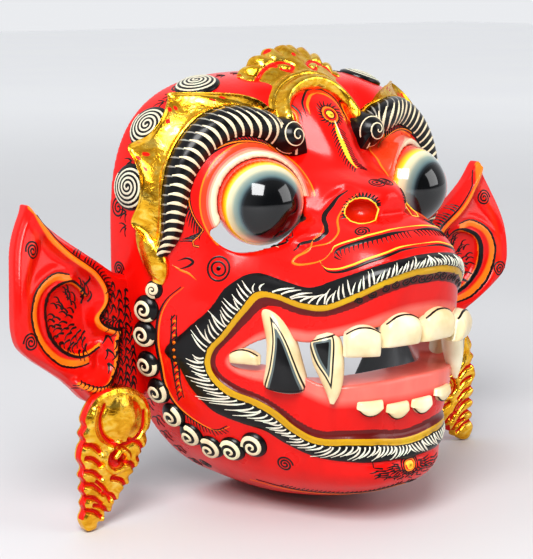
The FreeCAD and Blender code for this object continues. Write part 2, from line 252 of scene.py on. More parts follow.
# grooves and ridges of the face: curve in the XZ plane, half width, height forward
FOLDS = (
    (((14, 150), (18, 146), (22.5, 141), (26.5, 136), (29.5, 132), (34, 129.5), (38.5, 127.5)), 1.5, -2.6),
    (((12, 153), (19, 149.5), (26, 143.5), (31, 137), (35, 132.5), (41, 127), (45, 121.5)), 3.2, 2.2),
    (((0, 138.4), (8, 138.6), (15, 137.2), (21, 134.6)), 1.6, -2.2),
    (((24, 163), (30, 156), (26.5, 147), (27, 140)), 3.0, -1.6),
)


def face_detail(x, z):
    """Carved detail that stands forward of the broad form."""
    x = np.abs(x)
    detail = 0.0
    for points, half_width, height in FOLDS:
        d = segment_distance(x, z, smooth_curve(points, 4))
        detail = detail + height * bump(d, half_width)
    ring = ring_place(x, z)
    band = np.clip(ring, 0.0, 1.0)
    detail = detail + 2.8 * np.sqrt(np.clip(1 - (2 * band - 1) ** 2, 0, 1)) * (ring > 0) * (ring < 1)
    detail = detail + 0.9 * bump(ring - 1.5, 0.5) * (ring > 1)
    lip = np.clip((ring - 2.0) / 2.0, 0.0, 1.0)
    detail = detail - (0.9 * step_up(ring, 2.2, 0.25) + 0.9 * np.sin(math.pi * lip) + 0.6 * lip)
    detail = detail + 4.5 * bump(np.hypot(x - 14.5, z - 143.5), 8.0)
    detail = detail + 3.0 * bump(np.hypot(x, (z - 150.0) * 1.3), 9.0)
    detail = detail + 1.8 * bump(np.hypot(x - 60, z - 118), 13.0)
    detail = detail + 2.5 * bump(z - 23.0, 9.0, 3.0) * bump(x, 42.0, 4.0)
    return detail


def brow_valley(x, z):
    """Hollow on each side of the ridge that runs down the forehead."""
    across = step_up(np.abs(x), 11.0, 4.0) * (1.0 - step_up(np.abs(x), 33.0, 5.0))
    return 7.0 * across * step_up(z, 161.0, 4.0) * (1.0 - step_up(z, 190.0, 4.0))


def skin_relief(x, z):
    detail = face_detail(x, z) - brow_valley(x, z)
    return broad_relief(np.abs(x), z) + detail / np.maximum(fall(np.abs(x), z), 0.4)


def skin_y(x, z):
    return RIM_Y - skin_relief(x, z) * fall(np.abs(x), z)


def world_points(points):
    return (np.asarray(points, float) + (0.0, DEPTH_SHIFT, 0.0)) * 0.001


def polygon_volume(points, faces):
    faces = np.asarray(faces)
    a, b, c = points[faces[:, 0]], points[faces[:, 1]], points[faces[:, 2]]
    volume = np.einsum("ij,ij->i", a, np.cross(b, c)).sum()
    if faces.shape[1] == 4:
        d = points[faces[:, 3]]
        volume += np.einsum("ij,ij->i", a, np.cross(c, d)).sum()
    return volume


def add_piece(name, points, faces, material, nodes=(), values=None):
    """Makes one mesh that rides on the mask. Points are as drawn; values are named point attributes."""
    mesh = bpy.data.meshes.new(name)
    mesh.from_pydata(world_points(points).tolist(), [], faces)
    mesh.polygons.foreach_set("use_smooth", [True] * len(mesh.polygons))
    for key, data in (values or {}).items():
        layer = mesh.attributes.new(key, "FLOAT", "POINT")
        layer.data.foreach_set("value", np.asarray(data, np.float32))
    mesh.materials.append(material)
    piece = bpy.data.objects.new(name, mesh)
    bpy.context.scene.collection.objects.link(piece)
    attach(piece, "root")
    for node in nodes:
        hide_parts(node)
    return piece


def mesh_level(values, low, step):
    """The zero surface of an array of distances, as points and faces that turn outward."""
    grid = vdb.FloatGrid(float(step * 4))
    grid.copyFromArray(values.astype(np.float32))
    grid.transform = vdb.createLinearTransform(voxelSize=float(step))
    points, triangles, quads = grid.convertToPolygons(isovalue=0.0, adaptivity=0.0)
    points = points.astype(float) + np.asarray(low, float)
    if polygon_volume(points, quads) < 0:
        quads = quads[:, ::-1]
        triangles = triangles[:, ::-1]
    return points, quads.tolist() + triangles.tolist()


def true_distance(level, step):
    """Turns any smooth level function into nearly true distances."""
    slopes = np.gradient(level, step)
    return level / np.maximum(np.sqrt(sum(s * s for s in slopes)), 1e-3)


SHELL_STEP = 0.95
# lower edge of the gap under the eye, closed over the ball
SLIT = ((63.9, 130.2), (61.5, 126.5), (58, 123.6), (54.2, 122.1), (50.2, 122.5), (46.6, 124.5),
        (42.9, 127.3), (38.9, 131.0), (33.8, 134.9), (28.9, 137.4), (29.6, 140.4), (36, 141), (46, 142),
        (58, 138), (63, 133))


def rounded_head(relief, x, y, z, inset):
    """Level function of the head's form, negative inside, from a relief over the XZ plane."""
    angle = np.arctan2(z - CENTRE_Z, x)
    power = fall_power(angle)
    share = np.hypot(x, z - CENTRE_Z) / rim_radius(angle, inset)
    reach = np.maximum(RIM_Y - y, 0.0) / relief
    return (share ** power + reach ** power) ** (1.0 / power) - 1.0


def hollow_relief(x, z):
    """The inside of the mask: the broad form without detail, kept clear of it on every side."""
    around = [MIDDLE(z + offset) for offset in (-9, -6, -3, 0, 3, 6, 9)]
    middle = np.minimum.reduce(around) - 9.0
    lips = 12.0 * bump(np.maximum(RINGS[4](x, z), 0.0), 12.0)
    hollow = 51.0 + (middle - 51.0) * bump(x, REACH(z) - 8.0, SQUARE(z)) - lips * (z < 112)
    backing = step_up(z, 165.0, 4.0) * (1.0 - step_up(z, 203.0, 3.0)) * (1.0
                                                                         - step_up(np.abs(x), 36.0, 4.0))
    hollow = hollow - brow_valley(x, z) - 4.5 * backing
    thin = bump(np.hypot((x - 45.0) / 1.4, z - 128.0), 13.0, 3.0)
    return hollow + (skin_relief(x, z) - 4.5 - hollow) * thin


SLIT_EDGE = PlaneMap(smooth_curve(SLIT, 6, closed=True), step=0.5)


def lid_reach(x, y, z):
    """Distance from the eye's axis, and height in front of the ball's middle along it."""
    dx, dy, dz = x - EYE[0], y - EYE[1], z - EYE[2]
    front = dx * LID_AIM[0] + dy * LID_AIM[1] + dz * LID_AIM[2]
    return np.sqrt(np.maximum(dx * dx + dy * dy + dz * dz - front * front, 0.0)), front


NOSTRIL = (13.6, -78.0, 140.8)
NOSTRIL_RADIUS = 5.8


def nostril_reach(x, y, z):
    return np.sqrt(((x - NOSTRIL[0]) / 1.1) ** 2 + ((y - NOSTRIL[1]) / 1.25) ** 2
                   + ((z - NOSTRIL[2]) / 0.85) ** 2)


def make_shell():
    step = SHELL_STEP
    xs = np.arange(0.0, 92.0, step)
    ys = np.arange(-112.0, 14.0, step)
    zs = np.arange(-4.0, 203.0, step)
    x, y, z = xs[:, None, None], ys[None, :, None], zs[None, None, :]
    px, pz = xs[:, None], zs[None, :]
    relief = skin_relief(px, pz)[:, None, :]
    outer = true_distance(rounded_head(relief, x, y, z, 0.0), step)
    outer = smooth_max(outer, y - RIM_Y, 1.2)
    inner = true_distance(rounded_head(hollow_relief(px, pz)[:, None, :], x, y, z, 8.0), step)
    lid, front = lid_reach(x, y, z)
    ball = np.hypot(lid, front * 0.95) - 22.8
    sleeve = smooth_max(smooth_max(ball, front - 2.5, 1.5), 132.0 - z, 3.0)
    outer = smooth_min(outer, sleeve, 5.0)
    solid = smooth_max(outer, -inner, 1.5)
    mouth = RINGS[4](px, pz)[:, None, :]
    solid = smooth_max(solid, np.minimum(-mouth, -12.0 - y), 2.0)
    slit = SLIT_EDGE(px, pz)[:, None, :]
    solid = smooth_max(solid, -slit, 1.4)
    seat = EYE_RADIUS + 0.15 - np.sqrt((x - EYE[0]) ** 2 + (y - EYE[1]) ** 2 + (z - EYE[2]) ** 2)
    solid = np.maximum(solid, seat)
    nostril = NOSTRIL_RADIUS - nostril_reach(x, y, z)
    solid = smooth_max(solid, nostril, 1.6)
    solid = smooth_max(solid, -z, 0.8)
    solid = np.concatenate((solid[:0:-1], solid), axis=0)
    low = (-xs[-1], ys[0], zs[0])
    return mesh_level(solid, low, step)


FACE_CAST_Y = -160.0     # rays for painted lines start in front of the face
EAR_CAST_Y = -22.0       # and, for the ears, behind the pendants


class Surface:
    """A finished mesh that paint and applied pieces are laid on, in millimetres as drawn."""

    def __init__(self, points, faces):
        self.tree = BVHTree.FromPolygons(points.tolist(), faces)

    def lay(self, points):
        """Moves points onto the surface and returns them with smoothed normals."""
        found = [self.tree.find_nearest(Vector(p)) for p in points]
        places = np.array([f[0] for f in found])
        normals = np.array([f[1] for f in found])
        if len(points) > 4:
            padded = np.vstack((normals[:1], normals, normals[-1:]))
            normals = padded[:-2] + 2 * padded[1:-1] + padded[2:]
        normals /= np.maximum(np.linalg.norm(normals, axis=1), 1e-9)[:, None]
        return places, normals

    def seen(self, line):
        """The places of a line of the XZ plane that can be seen from the front, with their normals."""
        hits = [self.tree.ray_cast(Vector((x, EAR_CAST_Y, z)), Vector((0, 1, 0))) for x,
                z in np.asarray(line, float)]
        hits = [hit for hit in hits if hit[0] is not None]
        return np.array([hit[0] for hit in hits]), unit(np.array([hit[1] for hit in hits]))

    def from_front(self, points):
        """Points of the XZ plane, cast onto the piece from the front."""
        made = []
        for x, z in np.asarray(points, float):
            hit = self.tree.ray_cast(Vector((x, FACE_CAST_Y, z)), Vector((0.0, 1.0, 0.0)))[0]
            made.append(tuple(hit) if hit else (x, float(skin_y(np.array(x), np.array(z))), z))
        return np.array(made)


# ---- paint
def linear(red, green, blue):
    """Linear colour from everyday 0 to 255 values."""
    channels = [c / 255.0 for c in (red, green, blue)]
    return tuple(c / 12.92 if c <= 0.04045 else ((c + 0.055) / 1.055) ** 2.4 for c in channels) + (1.0,)


RED = linear(226, 14, 4)
# deeper red of the nostril hole: painted shade
SHADED_NOSTRIL_RED = linear(206, 40, 10)
BLACK = linear(14, 13, 15)
CREAM = linear(238, 222, 188)
IVORY = linear(240, 222, 178)
PINK = linear(240, 120, 108)
MAROON = linear(104, 16, 14)
OLIVE_GOLD = linear(206, 158, 16)
ORANGE = linear(250, 128, 22)
YELLOW = linear(252, 206, 60)
GREY = linear(150, 146, 138)
SLATE = linear(96, 108, 108)
CHARCOAL = linear(44, 44, 48)


class Paint:
    """A painted finish built from nodes."""

    def __init__(self, name, roughness=0.3, metallic=0.0, coat=0.0):
        self.material = bpy.data.materials.new(name)
        self.material.use_nodes = True
        self.tree = self.material.node_tree
        self.shader = self.tree.nodes["Principled BSDF"]
        self.shader.inputs["Roughness"].default_value = roughness
        self.shader.inputs["Metallic"].default_value = metallic
        self.shader.inputs["Coat Weight"].default_value = coat
        self.shader.inputs["Coat Roughness"].default_value = 0.12
        self.shader.inputs["Specular IOR Level"].default_value = 0.28

    def node(self, kind, **settings):
        made = self.tree.nodes.new(kind)
        for key, value in settings.items():
            setattr(made, key, value)
        return made

    def link(self, a, b):
        self.tree.links.new(a, b)

    def value(self, attribute):
        return self.node("ShaderNodeAttribute", attribute_name=attribute).outputs["Fac"]

    def noise(self, scale, detail=3.0, stretch=None, distortion=0.0):
        noise = self.node("ShaderNodeTexNoise")
        noise.inputs["Scale"].default_value = scale
        noise.inputs["Detail"].default_value = detail
        noise.inputs["Distortion"].default_value = distortion
        place = self.node("ShaderNodeTexCoord").outputs["Object"]
        if stretch:
            mapping = self.node("ShaderNodeMapping")
            mapping.inputs["Scale"].default_value = stretch
            self.link(place, mapping.inputs["Vector"])
            place = mapping.outputs["Vector"]
        self.link(place, noise.inputs["Vector"])
        return noise.outputs["Fac"]

    def span(self, source, low, high, to_low=0.0, to_high=1.0, interpolation="LINEAR"):
        """One range of a value spread over another."""
        span = self.node("ShaderNodeMapRange", interpolation_type=interpolation)
        for socket, number in (("From Min", low), ("From Max", high), ("To Min", to_low),
                               ("To Max", to_high)):
            span.inputs[socket].default_value = number
        self.link(source, span.inputs["Value"])
        return span.outputs["Result"]

    def ramp(self, source, low, high, stops, smooth=False):
        """Colours against a value; each stop is where a colour starts, with a narrow change before it."""
        ramp = self.node("ShaderNodeValToRGB")
        self.link(self.span(source, low, high), ramp.inputs["Fac"])
        elements = ramp.color_ramp.elements
        elements[0].position = 0.0
        elements[0].color = stops[0][1]
        elements[1].position = 1.0
        elements[1].color = stops[-1][1]
        for (_, before), (start, colour) in zip(stops, stops[1:]):
            place = (start - low) / (high - low)
            if not smooth:
                elements.new(max(place - 0.003, 0.0)).color = before
            elements.new(place).color = colour
        return ramp.outputs["Color"]

    def mix(self, share, first, second, blend="MIX"):
        mixer = self.node("ShaderNodeMix", data_type="RGBA", blend_type=blend)
        for socket, source in ((0, share), (6, first), (7, second)):
            if hasattr(source, "default_value"):
                self.link(source, mixer.inputs[socket])
            else:
                mixer.inputs[socket].default_value = source
        return mixer.outputs[2]

    def above(self, source, edge, softness=0.02):
        """0 below an edge and 1 above it."""
        return self.span(source, edge - softness, edge + softness)

    def brushed(self, colour, strength=0.35, scale=90.0):
        """Uneven brushwork: the colour with darker and paler streaks."""
        streaks = self.ramp(self.noise(scale, 4.0, (1.0, 1.0, 0.35), 0.6), 0.3, 0.7,
                            [(0.3, (0.72, 0.62, 0.62, 1)), (0.5, (1, 1, 1, 1)),
                             (0.7, (1.0, 1.45, 1.35, 1))], smooth=True)
        return self.mix(strength, colour, self.mix(1.0, colour, streaks, "MULTIPLY"))

    def uneven(self, scale, height, detail=3.0, distortion=0.0):
        bump_node = self.node("ShaderNodeBump")
        bump_node.inputs["Strength"].default_value = 0.6
        bump_node.inputs["Distance"].default_value = height
        self.link(self.noise(scale, detail, None, distortion), bump_node.inputs["Height"])
        self.link(bump_node.outputs["Normal"], self.shader.inputs["Normal"])

    def rough_patches(self, low, high, scale=60.0):
        self.link(self.span(self.noise(scale), 0.0, 1.0, low, high), self.shader.inputs["Roughness"])

    def colour(self, source):
        if hasattr(source, "default_value"):
            self.link(source, self.shader.inputs["Base Color"])
        else:
            self.shader.inputs["Base Color"].default_value = source
        return self.material


def enamel(name, colour, strength=0.35, scale=90.0, roughness=0.3):
    paint = Paint(name, roughness, coat=0.2)
    paint.uneven(140.0, 0.0002)
    paint.rough_patches(roughness - 0.08, roughness + 0.12)
    return paint.colour(paint.brushed(colour, strength, scale))


def shell_paint():
    paint = Paint("red_enamel_face", 0.3, coat=0.25)
    ring = paint.value("ring")
    ring_colours = paint.ramp(ring, -1.0, 5.0, [
        (-1.0, RED), (0.0, BLACK), (1.0, OLIVE_GOLD), (2.02, MAROON), (3.0, RED), (3.25, RED)])
    gums = paint.ramp(ring, 3.2, 4.2, [(3.2, RED), (3.5, RED), (3.7, PINK), (4.2, PINK)], smooth=True)
    colour = paint.mix(paint.above(ring, 3.2), ring_colours, gums)
    lid = paint.value("lid")
    lids = paint.ramp(lid, 18.0, 32.0, [
        (18.0, CREAM), (22.6, linear(250, 176, 150)), (23.4, PINK), (24.2, linear(240, 70, 34)),
        (26.3, ORANGE), (27.0, RED)])
    colour = paint.mix(paint.above(lid, 27.3, 0.1), lids, colour)
    # the nostril hole is painted a deeper red: painted shade in the hole
    colour = paint.mix(paint.above(paint.value("nostril"), 0.5, 0.1), colour, SHADED_NOSTRIL_RED)
    colour = paint.brushed(colour, 0.32, 70.0)
    colour = paint.mix(paint.above(paint.value("inside"), 0.5, 0.2), colour,
                       paint.brushed(CHARCOAL, 0.8, 50.0))
    paint.uneven(120.0, 0.00025)
    paint.rough_patches(0.2, 0.4)
    return paint.colour(colour)


def gold_leaf(name="gold_leaf"):
    paint = Paint(name, 0.25, metallic=1.0)
    wrinkles = paint.noise(160.0, 6.0, (1.0, 1.0, 1.6), 1.2)
    tone = paint.ramp(wrinkles, 0.25, 0.75, [(0.25, linear(206, 140, 26)), (0.5, linear(246, 190, 58)),
                                             (0.75, linear(255, 224, 120))], smooth=True)
    recess = paint.value("recess")
    tone = paint.mix(paint.above(recess, 0.5, 0.12), tone, linear(214, 28, 12))
    paint.link(paint.span(recess, 0.4, 0.6, 1.0, 0.0), paint.shader.inputs["Metallic"])
    paint.uneven(190.0, 0.0007, 5.0, 1.0)
    paint.rough_patches(0.12, 0.34, 120.0)
    return paint.colour(tone)


def eye_paint():
    paint = Paint("eye_enamel", 0.12, coat=1.0)
    paint.shader.inputs["Coat Roughness"].default_value = 0.03
    rings = paint.ramp(paint.value("gaze"), 0.0, 120.0, [
        (0.0, linear(4, 4, 6)), (38.0, linear(5, 6, 8)), (41.5, linear(38, 48, 54)),
                                                         (45.5, linear(98, 120, 122)),
        (52.5, linear(146, 158, 146)), (57.0, linear(205, 198, 165)), (64.5, linear(238, 224, 182)),
        (67.0, linear(255, 214, 50)), (71.0, linear(255, 176, 20)), (75.0, linear(248, 96, 14)),
        (79.0, linear(230, 34, 12)), (94.0, linear(220, 26, 12)), (95.5, BLACK), (103.0, BLACK),
                                                         (104.0, CREAM)],
        smooth=True)
    return paint.colour(paint.brushed(rings, 0.25, 60.0))


def ivory_paint():
    paint = Paint("ivory_enamel", 0.3, coat=0.5)
    tone = paint.ramp(paint.noise(60.0, 4.0), 0.3, 0.7, [(0.3, linear(226, 200, 148)), (0.5, IVORY),
                                                        (0.7, linear(250, 240, 210))], smooth=True)
    panel = paint.value("panel")
    for edge, shade in ((0.0, BLACK), (0.6, IVORY), (1.15, SLATE), (2.0, BLACK)):
        tone = paint.mix(paint.above(panel, edge, 0.08), tone, shade)
    paint.uneven(110.0, 0.0002)
    return paint.colour(tone)


def floor_paint():
    """Pale paper with a painted glow: emission that brightens it with distance, so that it meets the
    backdrop softly.
    """
    paint = Paint("floor_paper", 0.6)
    tone = paint.ramp(paint.noise(3.0, 4.0), 0.3, 0.7, [(0.3, linear(207, 207, 209)),
                                                        (0.7, linear(210, 210, 211))],
                      smooth=True)
    # painted light: the floor glows more the farther it is from the mask, though it is no lamp
    far = paint.node("ShaderNodeVectorMath", operation="LENGTH")
    paint.link(paint.node("ShaderNodeTexCoord").outputs["Object"], far.inputs[0])
    glow = paint.span(far.outputs["Value"], 0.25, 2.6, 0.0, 0.31, "SMOOTHSTEP")
    paint.shader.inputs["Emission Color"].default_value = (0.96, 0.98, 1.0, 1.0)
    paint.link(glow, paint.shader.inputs["Emission Strength"])
    return paint.colour(tone)


# ---- building blocks
def unit(vectors):
    return vectors / np.maximum(np.linalg.norm(vectors, axis=-1, keepdims=True), 1e-9)


def spokes(level, up, angle, reach, squash=1.0):
    """Places at angles and distances round a point, in the plane of two directions."""
    return np.outer(np.cos(angle) * reach, level) + np.outer(np.sin(angle) * reach * squash, up)


def grid_faces(rows, columns, wrap=False, offset=0):
    faces = []
    last = columns if wrap else columns - 1
    for i in range(rows - 1):
        for j in range(last):
            k = (j + 1) % columns
            faces.append((offset + i * columns + j, offset + i * columns + k,
                          offset + (i + 1) * columns + k, offset + (i + 1) * columns + j))
    return faces


def closed_rings(rings):
    """Points and faces of a closed skin through equal rings of points."""
    rows, columns = rings.shape[:2]
    faces = grid_faces(rows, columns, wrap=True)
    faces.append(tuple(range(columns))[::-1])
    faces.append(tuple(range((rows - 1) * columns, rows * columns)))
    return rings.reshape(-1, 3), faces


def turned_out(points, faces):
    """Faces turned so that they look outward."""
    fans = [(f[0], f[i], f[i + 1]) for f in faces for i in range(1, len(f) - 1)]
    return faces if polygon_volume(points, np.array(fans)) > 0 else [tuple(f[::-1]) for f in faces]


def mirrored(points, faces):
    return points * (-1, 1, 1), [tuple(f[::-1]) for f in faces]


def add_pair(name, points, faces, material, node=None, values=None):
    """One piece for each side of the mask; node is the CAD name without its side."""
    faces = turned_out(points, faces)
    nodes = [[node + side] if node else [] for side in ("_left", "_right")]
    add_piece(name + "_left", points, faces, material, nodes[0], values)
    other, turned = mirrored(points, faces)
    add_piece(name + "_right", other, turned, material, nodes[1], values)


def bar(path, up, half_width, top, under, sides=20, power=0.85):
    """A closed bar along a path: rounded above, flatter below."""
    along = unit(np.gradient(path, axis=0))
    across = unit(np.cross(along, up))
    up = unit(np.cross(across, along))
    angle = np.linspace(0, 2 * math.pi, sides, endpoint=False)
    c = np.sign(np.cos(angle)) * np.abs(np.cos(angle)) ** power
    s = np.sin(angle)
    height = np.where(s > 0, np.broadcast_to(top, len(path))[:, None] * np.abs(s) ** power,
                      -np.broadcast_to(under, len(path))[:, None] * np.abs(s))
    width = np.broadcast_to(half_width, len(path))[:, None] * c
    return closed_rings(path[:, None] + across[:, None] * width[..., None]
                        + up[:, None] * height[..., None])


class Patch:
    """A raised piece between two lines on a surface, with a place for every (along, across) from 0 to 1."""

    def __init__(self, surface, first, second, height, rows=110, columns=18, under=1.4):
        s = np.linspace(0, 1, rows)
        t = np.linspace(0, 1, columns)
        a = resample(first, rows)
        b = resample(second, rows)
        flat = (a[:, None] * (1 - t[None, :, None]) + b[:, None] * t[None, :, None]).reshape(-1, 3)
        base, normals = surface.lay(flat)
        base = base.reshape(rows, columns, 3)
        normals = unit(normals.reshape(rows, columns, 3))
        for _ in range(4):
            normals[1:-1] = normals[:-2] + 2 * normals[1:-1] + normals[2:]
            normals[:, 1:-1] = normals[:, :-2] + 2 * normals[:, 1:-1] + normals[:, 2:]
            normals = unit(normals)
        rise = height(s[:, None], t[None, :])
        self.top = base + normals * rise[..., None]
        self.normals = normals
        bottom = base - normals * under
        rings = np.concatenate((self.top, bottom[:, ::-1]), axis=1)
        self.points, self.faces = closed_rings(rings)
        self.s = np.broadcast_to(s[:, None], (rows, 2 * columns)).ravel()
        both = np.concatenate((t, t[::-1]))
        self.t = np.broadcast_to(both, (rows, 2 * columns)).ravel()

    def at(self, s, t):
        rows, columns = self.top.shape[:2]
        i = np.clip(np.asarray(s, float), 0, 1) * (rows - 1.001)
        j = np.clip(np.asarray(t, float), 0, 1) * (columns - 1.001)
        i0, j0 = i.astype(int), j.astype(int)
        a, b = (i - i0)[..., None], (j - j0)[..., None]
        found = []
        for field in (self.top, unit(np.cross(np.gradient(self.top, axis=0),
                                              np.gradient(self.top, axis=1)))):
            found.append((field[i0, j0] * (1 - a) + field[i0 + 1, j0] * a) * (1 - b)
                         + (field[i0, j0 + 1] * (1 - a) + field[i0 + 1, j0 + 1] * a) * b)
        normals = unit(found[1])
        outward = np.einsum("...i,...i", normals, self.normals[i0, j0])
        return found[0], normals * np.sign(outward)[..., None]


def resample(points, count):
    """Evenly spaced points along a line."""
    points = np.asarray(points, float)
    run = np.concatenate(([0.0], np.cumsum(np.linalg.norm(np.diff(points, axis=0), axis=1))))
    places = np.linspace(0, run[-1], count)
    return np.column_stack([np.interp(places, run, points[:, k]) for k in range(points.shape[1])])


class Strokes:
    """Brush strokes of one colour, gathered into one mesh of thin raised ribbons."""

    def __init__(self, brush=1.0):
        self.brush = brush
        self.points = []
        self.faces = []
        self.count = 0

    def add(self, places, normals, width, rise=0.3, sink=0.06, both=True):
        places = np.asarray(places, float)
        along = unit(np.gradient(places, axis=0))
        side = (unit(np.cross(normals, along))
                * (np.broadcast_to(width, len(places)) * self.brush / 2)[:, None])
        rows = np.stack((places + side - normals * sink, places + normals * rise,
                         places - side - normals * sink), 1)
        for flip in ((1, -1) if both else (1,)):
            block = rows * (flip, 1, 1)
            faces = grid_faces(len(places), 3, offset=self.count)
            if flip > 0:
                faces = [f[::-1] for f in faces]
            self.points.append(block.reshape(-1, 3))
            self.faces += faces
            self.count += len(places) * 3

    def lay(self, surface, points, width, **settings):
        """Adds a stroke along points that are first moved onto a surface."""
        places, normals = surface.lay(points)
        self.add(places, normals, width, **settings)

    def finish(self, name, material, slot):
        add_piece(name, np.vstack(self.points), self.faces, material)


def tapered(count, width, start=0.2, end=0.2, power=0.8):
    """Widths of a stroke that swells from its start and thins to its end."""
    s = np.linspace(0, 1, count)
    swell = np.sin(math.pi * s) ** power
    return width * np.maximum(swell, start * (1 - s) + end * s)


def face_stroke(strokes, surface, curve, width, both=True, rise=0.3):
    """A stroke given in the XZ plane, laid on the face."""
    places, normals = surface.lay(surface.from_front(smooth_curve(curve, 8)))
    strokes.add(places, normals, tapered(len(places), width), rise, both=both)


def frame_at(surface, centre):
    """A point of the surface with two directions across it: level and up."""
    place, normal = surface.lay([centre])
    level = unit(np.cross(normal[0], (0, 0, 1.0)))
    return place[0], level, unit(np.cross(level, normal[0])), normal[0]


def rings_at(strokes, surface, centre, radii, width, both=True):
    """Painted rings round a point of the surface."""
    place, level, up, _ = frame_at(surface, centre)
    for radius in radii:
        angle = np.linspace(0, 2 * math.pi, 26)
        wobble = 1 + 0.05 * np.sin(angle * 2 + radius)
        strokes.lay(surface, place + spokes(level, up, angle, radius * wobble), width, both=both)


def comb(strokes, surface, line, length, gap, width, lean=0.35, both=True, curl=0.25, jitter=0.15):
    """Short hairs that stand off one side of a line on a surface."""
    run = np.linalg.norm(np.diff(line, axis=0), axis=1).sum()
    roots = resample(line, max(int(run / gap), 2))
    places, normals = surface.lay(roots)
    along = unit(np.gradient(places, axis=0))
    away = unit(np.cross(normals, along)) * np.sign(length)
    for place, ahead, out in zip(places, along, away):
        reach = abs(length) * (1 + jitter * RNG.uniform(-1, 1))
        s = np.linspace(0, 1, 5)[:, None]
        hair = place + out * s * reach + ahead * (lean * s + curl * s * s) * reach
        laid, up = surface.lay(hair)
        strokes.add(laid, up, np.linspace(width, width * 0.25, 5), both=both)


# ---- pieces
def flank(surface, stops):
    """Points on the side of the head, each from a direction in the XZ plane in degrees and a depth."""
    made = []
    for degrees, y in stops:
        angle = math.radians(degrees)
        power = float(fall_power(angle))
        share = 1.0
        for _ in range(8):
            radius = float(rim_radius(angle)) * share
            x, z = radius * math.cos(angle), CENTRE_Z + radius * math.sin(angle)
            reach = min((RIM_Y - y) / float(broad_relief(x, z)), 0.99)
            share = (1.0 - reach ** power) ** (1.0 / power)
        made.append((x, y, z))
    return surface.lay(np.array(made))[0]


BROW_OUTER = ((17, 171.5), (22, 175.5), (31, 181), (42, 184), (52, 183.5), (62, 179), (70.5, 170.5),
              (76, 160), (78.6, 149), (79.4, 138), (80, 129), (82, 118.5))
BROW_INNER = ((16, 163.5), (23, 162.5), (30, 166), (38, 170.5), (47, 172), (56, 168.5), (63, 162.5),
              (68, 155), (71, 146), (72.8, 136), (74.6, 128.5), (79.5, 118))


def make_brows(shell):
    outer = shell.from_front(smooth_curve(BROW_OUTER))
    inner = shell.from_front(smooth_curve(BROW_INNER))
    brow = Patch(shell, outer, inner, lambda s, t: 6.6 * np.sin(math.pi * t) ** 0.62
                 * np.minimum(1.0, 0.45 + 5 * s) * np.clip((1.02 - s) * 7, 0.15, 1.0) ** 0.5
                 + 5.0 * np.sin(math.pi * t) * np.exp(-s / 0.09))
    add_pair("brow", brow.points, brow.faces, enamel("black_enamel", BLACK, 0.2),
             "brow")
    pale, grey = Strokes(), Strokes()
    count = 27
    for i in range(count):
        root = 0.05 + 0.93 * i / count
        s = np.linspace(0, 1, 12)
        across = 0.98 - 0.60 * s
        places, normals = brow.at(root + 0.022 * s ** 1.6 - 0.006 * np.sin(math.pi * s), across)
        pale.add(places, normals, tapered(12, 1.9, 0.75, 0.5))
        across = 0.40 - 0.34 * s
        places, normals = brow.at(root + 0.024 + 0.020 * s, across)
        grey.add(places, normals, tapered(12, 1.15, 0.8, 0.3), rise=0.2)
    knob = make_dome(shell, shell.from_front(np.array([(23.8, 171.0)]))[0], 8.8, 11.5,
                     tilt=(0.0, -1.0, 0.12))
    add_pair("brow_scroll", knob.points, knob.faces, enamel("black_enamel_scroll", BLACK, 0.2))
    knob.spiral(pale, 2.4, 0.7, 0.95, hand=-1.0, rise=0.3)
    pale.finish("brow_feathers", enamel("cream_strokes", CREAM, 0.3, 200), "black_painted_wood")
    grey.finish("brow_feather_tips", enamel("grey_strokes", GREY, 0.3, 200), "black_painted_wood")
    return outer


class Dome:
    """A low dome on a surface, with a spiral that can be painted on it."""

    def __init__(self, centre, normal, radius, height, power=0.75):
        self.centre, self.normal = centre, normal
        self.radius, self.height, self.power = radius, height, power
        self.level = unit(np.cross(normal, (0, 0, 1.0)))
        self.up = unit(np.cross(self.level, normal))
        rows = []
        angle = np.linspace(0, 2 * math.pi, 40, endpoint=False)
        for share in (1.0, 1.0, 0.97, 0.92, 0.85, 0.75, 0.62, 0.46, 0.28, 0.1):
            flat = spokes(self.level, self.up, angle, radius * share)
            rows.append(centre + flat + normal * (self.rise(share) if rows else -2.5))
        self.points, self.faces = closed_rings(np.array(rows))
        self.faces = turned_out(self.points, self.faces)

    def rise(self, share):
        return self.height * (1 - np.minimum(share, 1.0) ** 2.2) ** self.power

    def spiral(self, strokes, turns, start, width, hand=1.0, phase=0.0, rise=0.18, even=False,
               share_end=0.93):
        count = int(26 * turns)
        s = np.linspace(0, 1, count)
        share = 0.06 + (share_end - 0.06) * s
        angle = hand * turns * 2 * math.pi * s + phase
        flat = spokes(self.level, self.up, angle, share) * self.radius
        slope = (self.rise(share - 0.02) - self.rise(share + 0.02)) / (0.04 * self.radius)
        outward = unit(flat)
        normals = unit(self.normal[None] + outward * slope[:, None])
        places = self.centre + flat + self.normal[None] * self.rise(share)[:, None]
        widths = np.full(count, width) if even else width * (start + (1 - start) * s)
        strokes.add(places, normals, widths, rise=rise, sink=0.1)


def make_dome(surface, centre, radius, height, tilt=None, power=0.75):
    places, normals = surface.lay([centre, centre, centre])
    normal = unit(np.array(tilt)) if tilt else normals[1]
    return Dome(places[1], normal, radius, height, power=power)


def add_domes(name, domes, paint_name):
    """A pair of pieces, each made of several separate domes."""
    starts = np.cumsum([0] + [len(dome.points) for dome in domes])
    faces = [tuple(k + start for k in face) for dome, start in zip(domes, starts) for face in dome.faces]
    points = np.vstack([dome.points for dome in domes])
    add_pair(name, points, faces, enamel(paint_name, BLACK, 0.2), name)


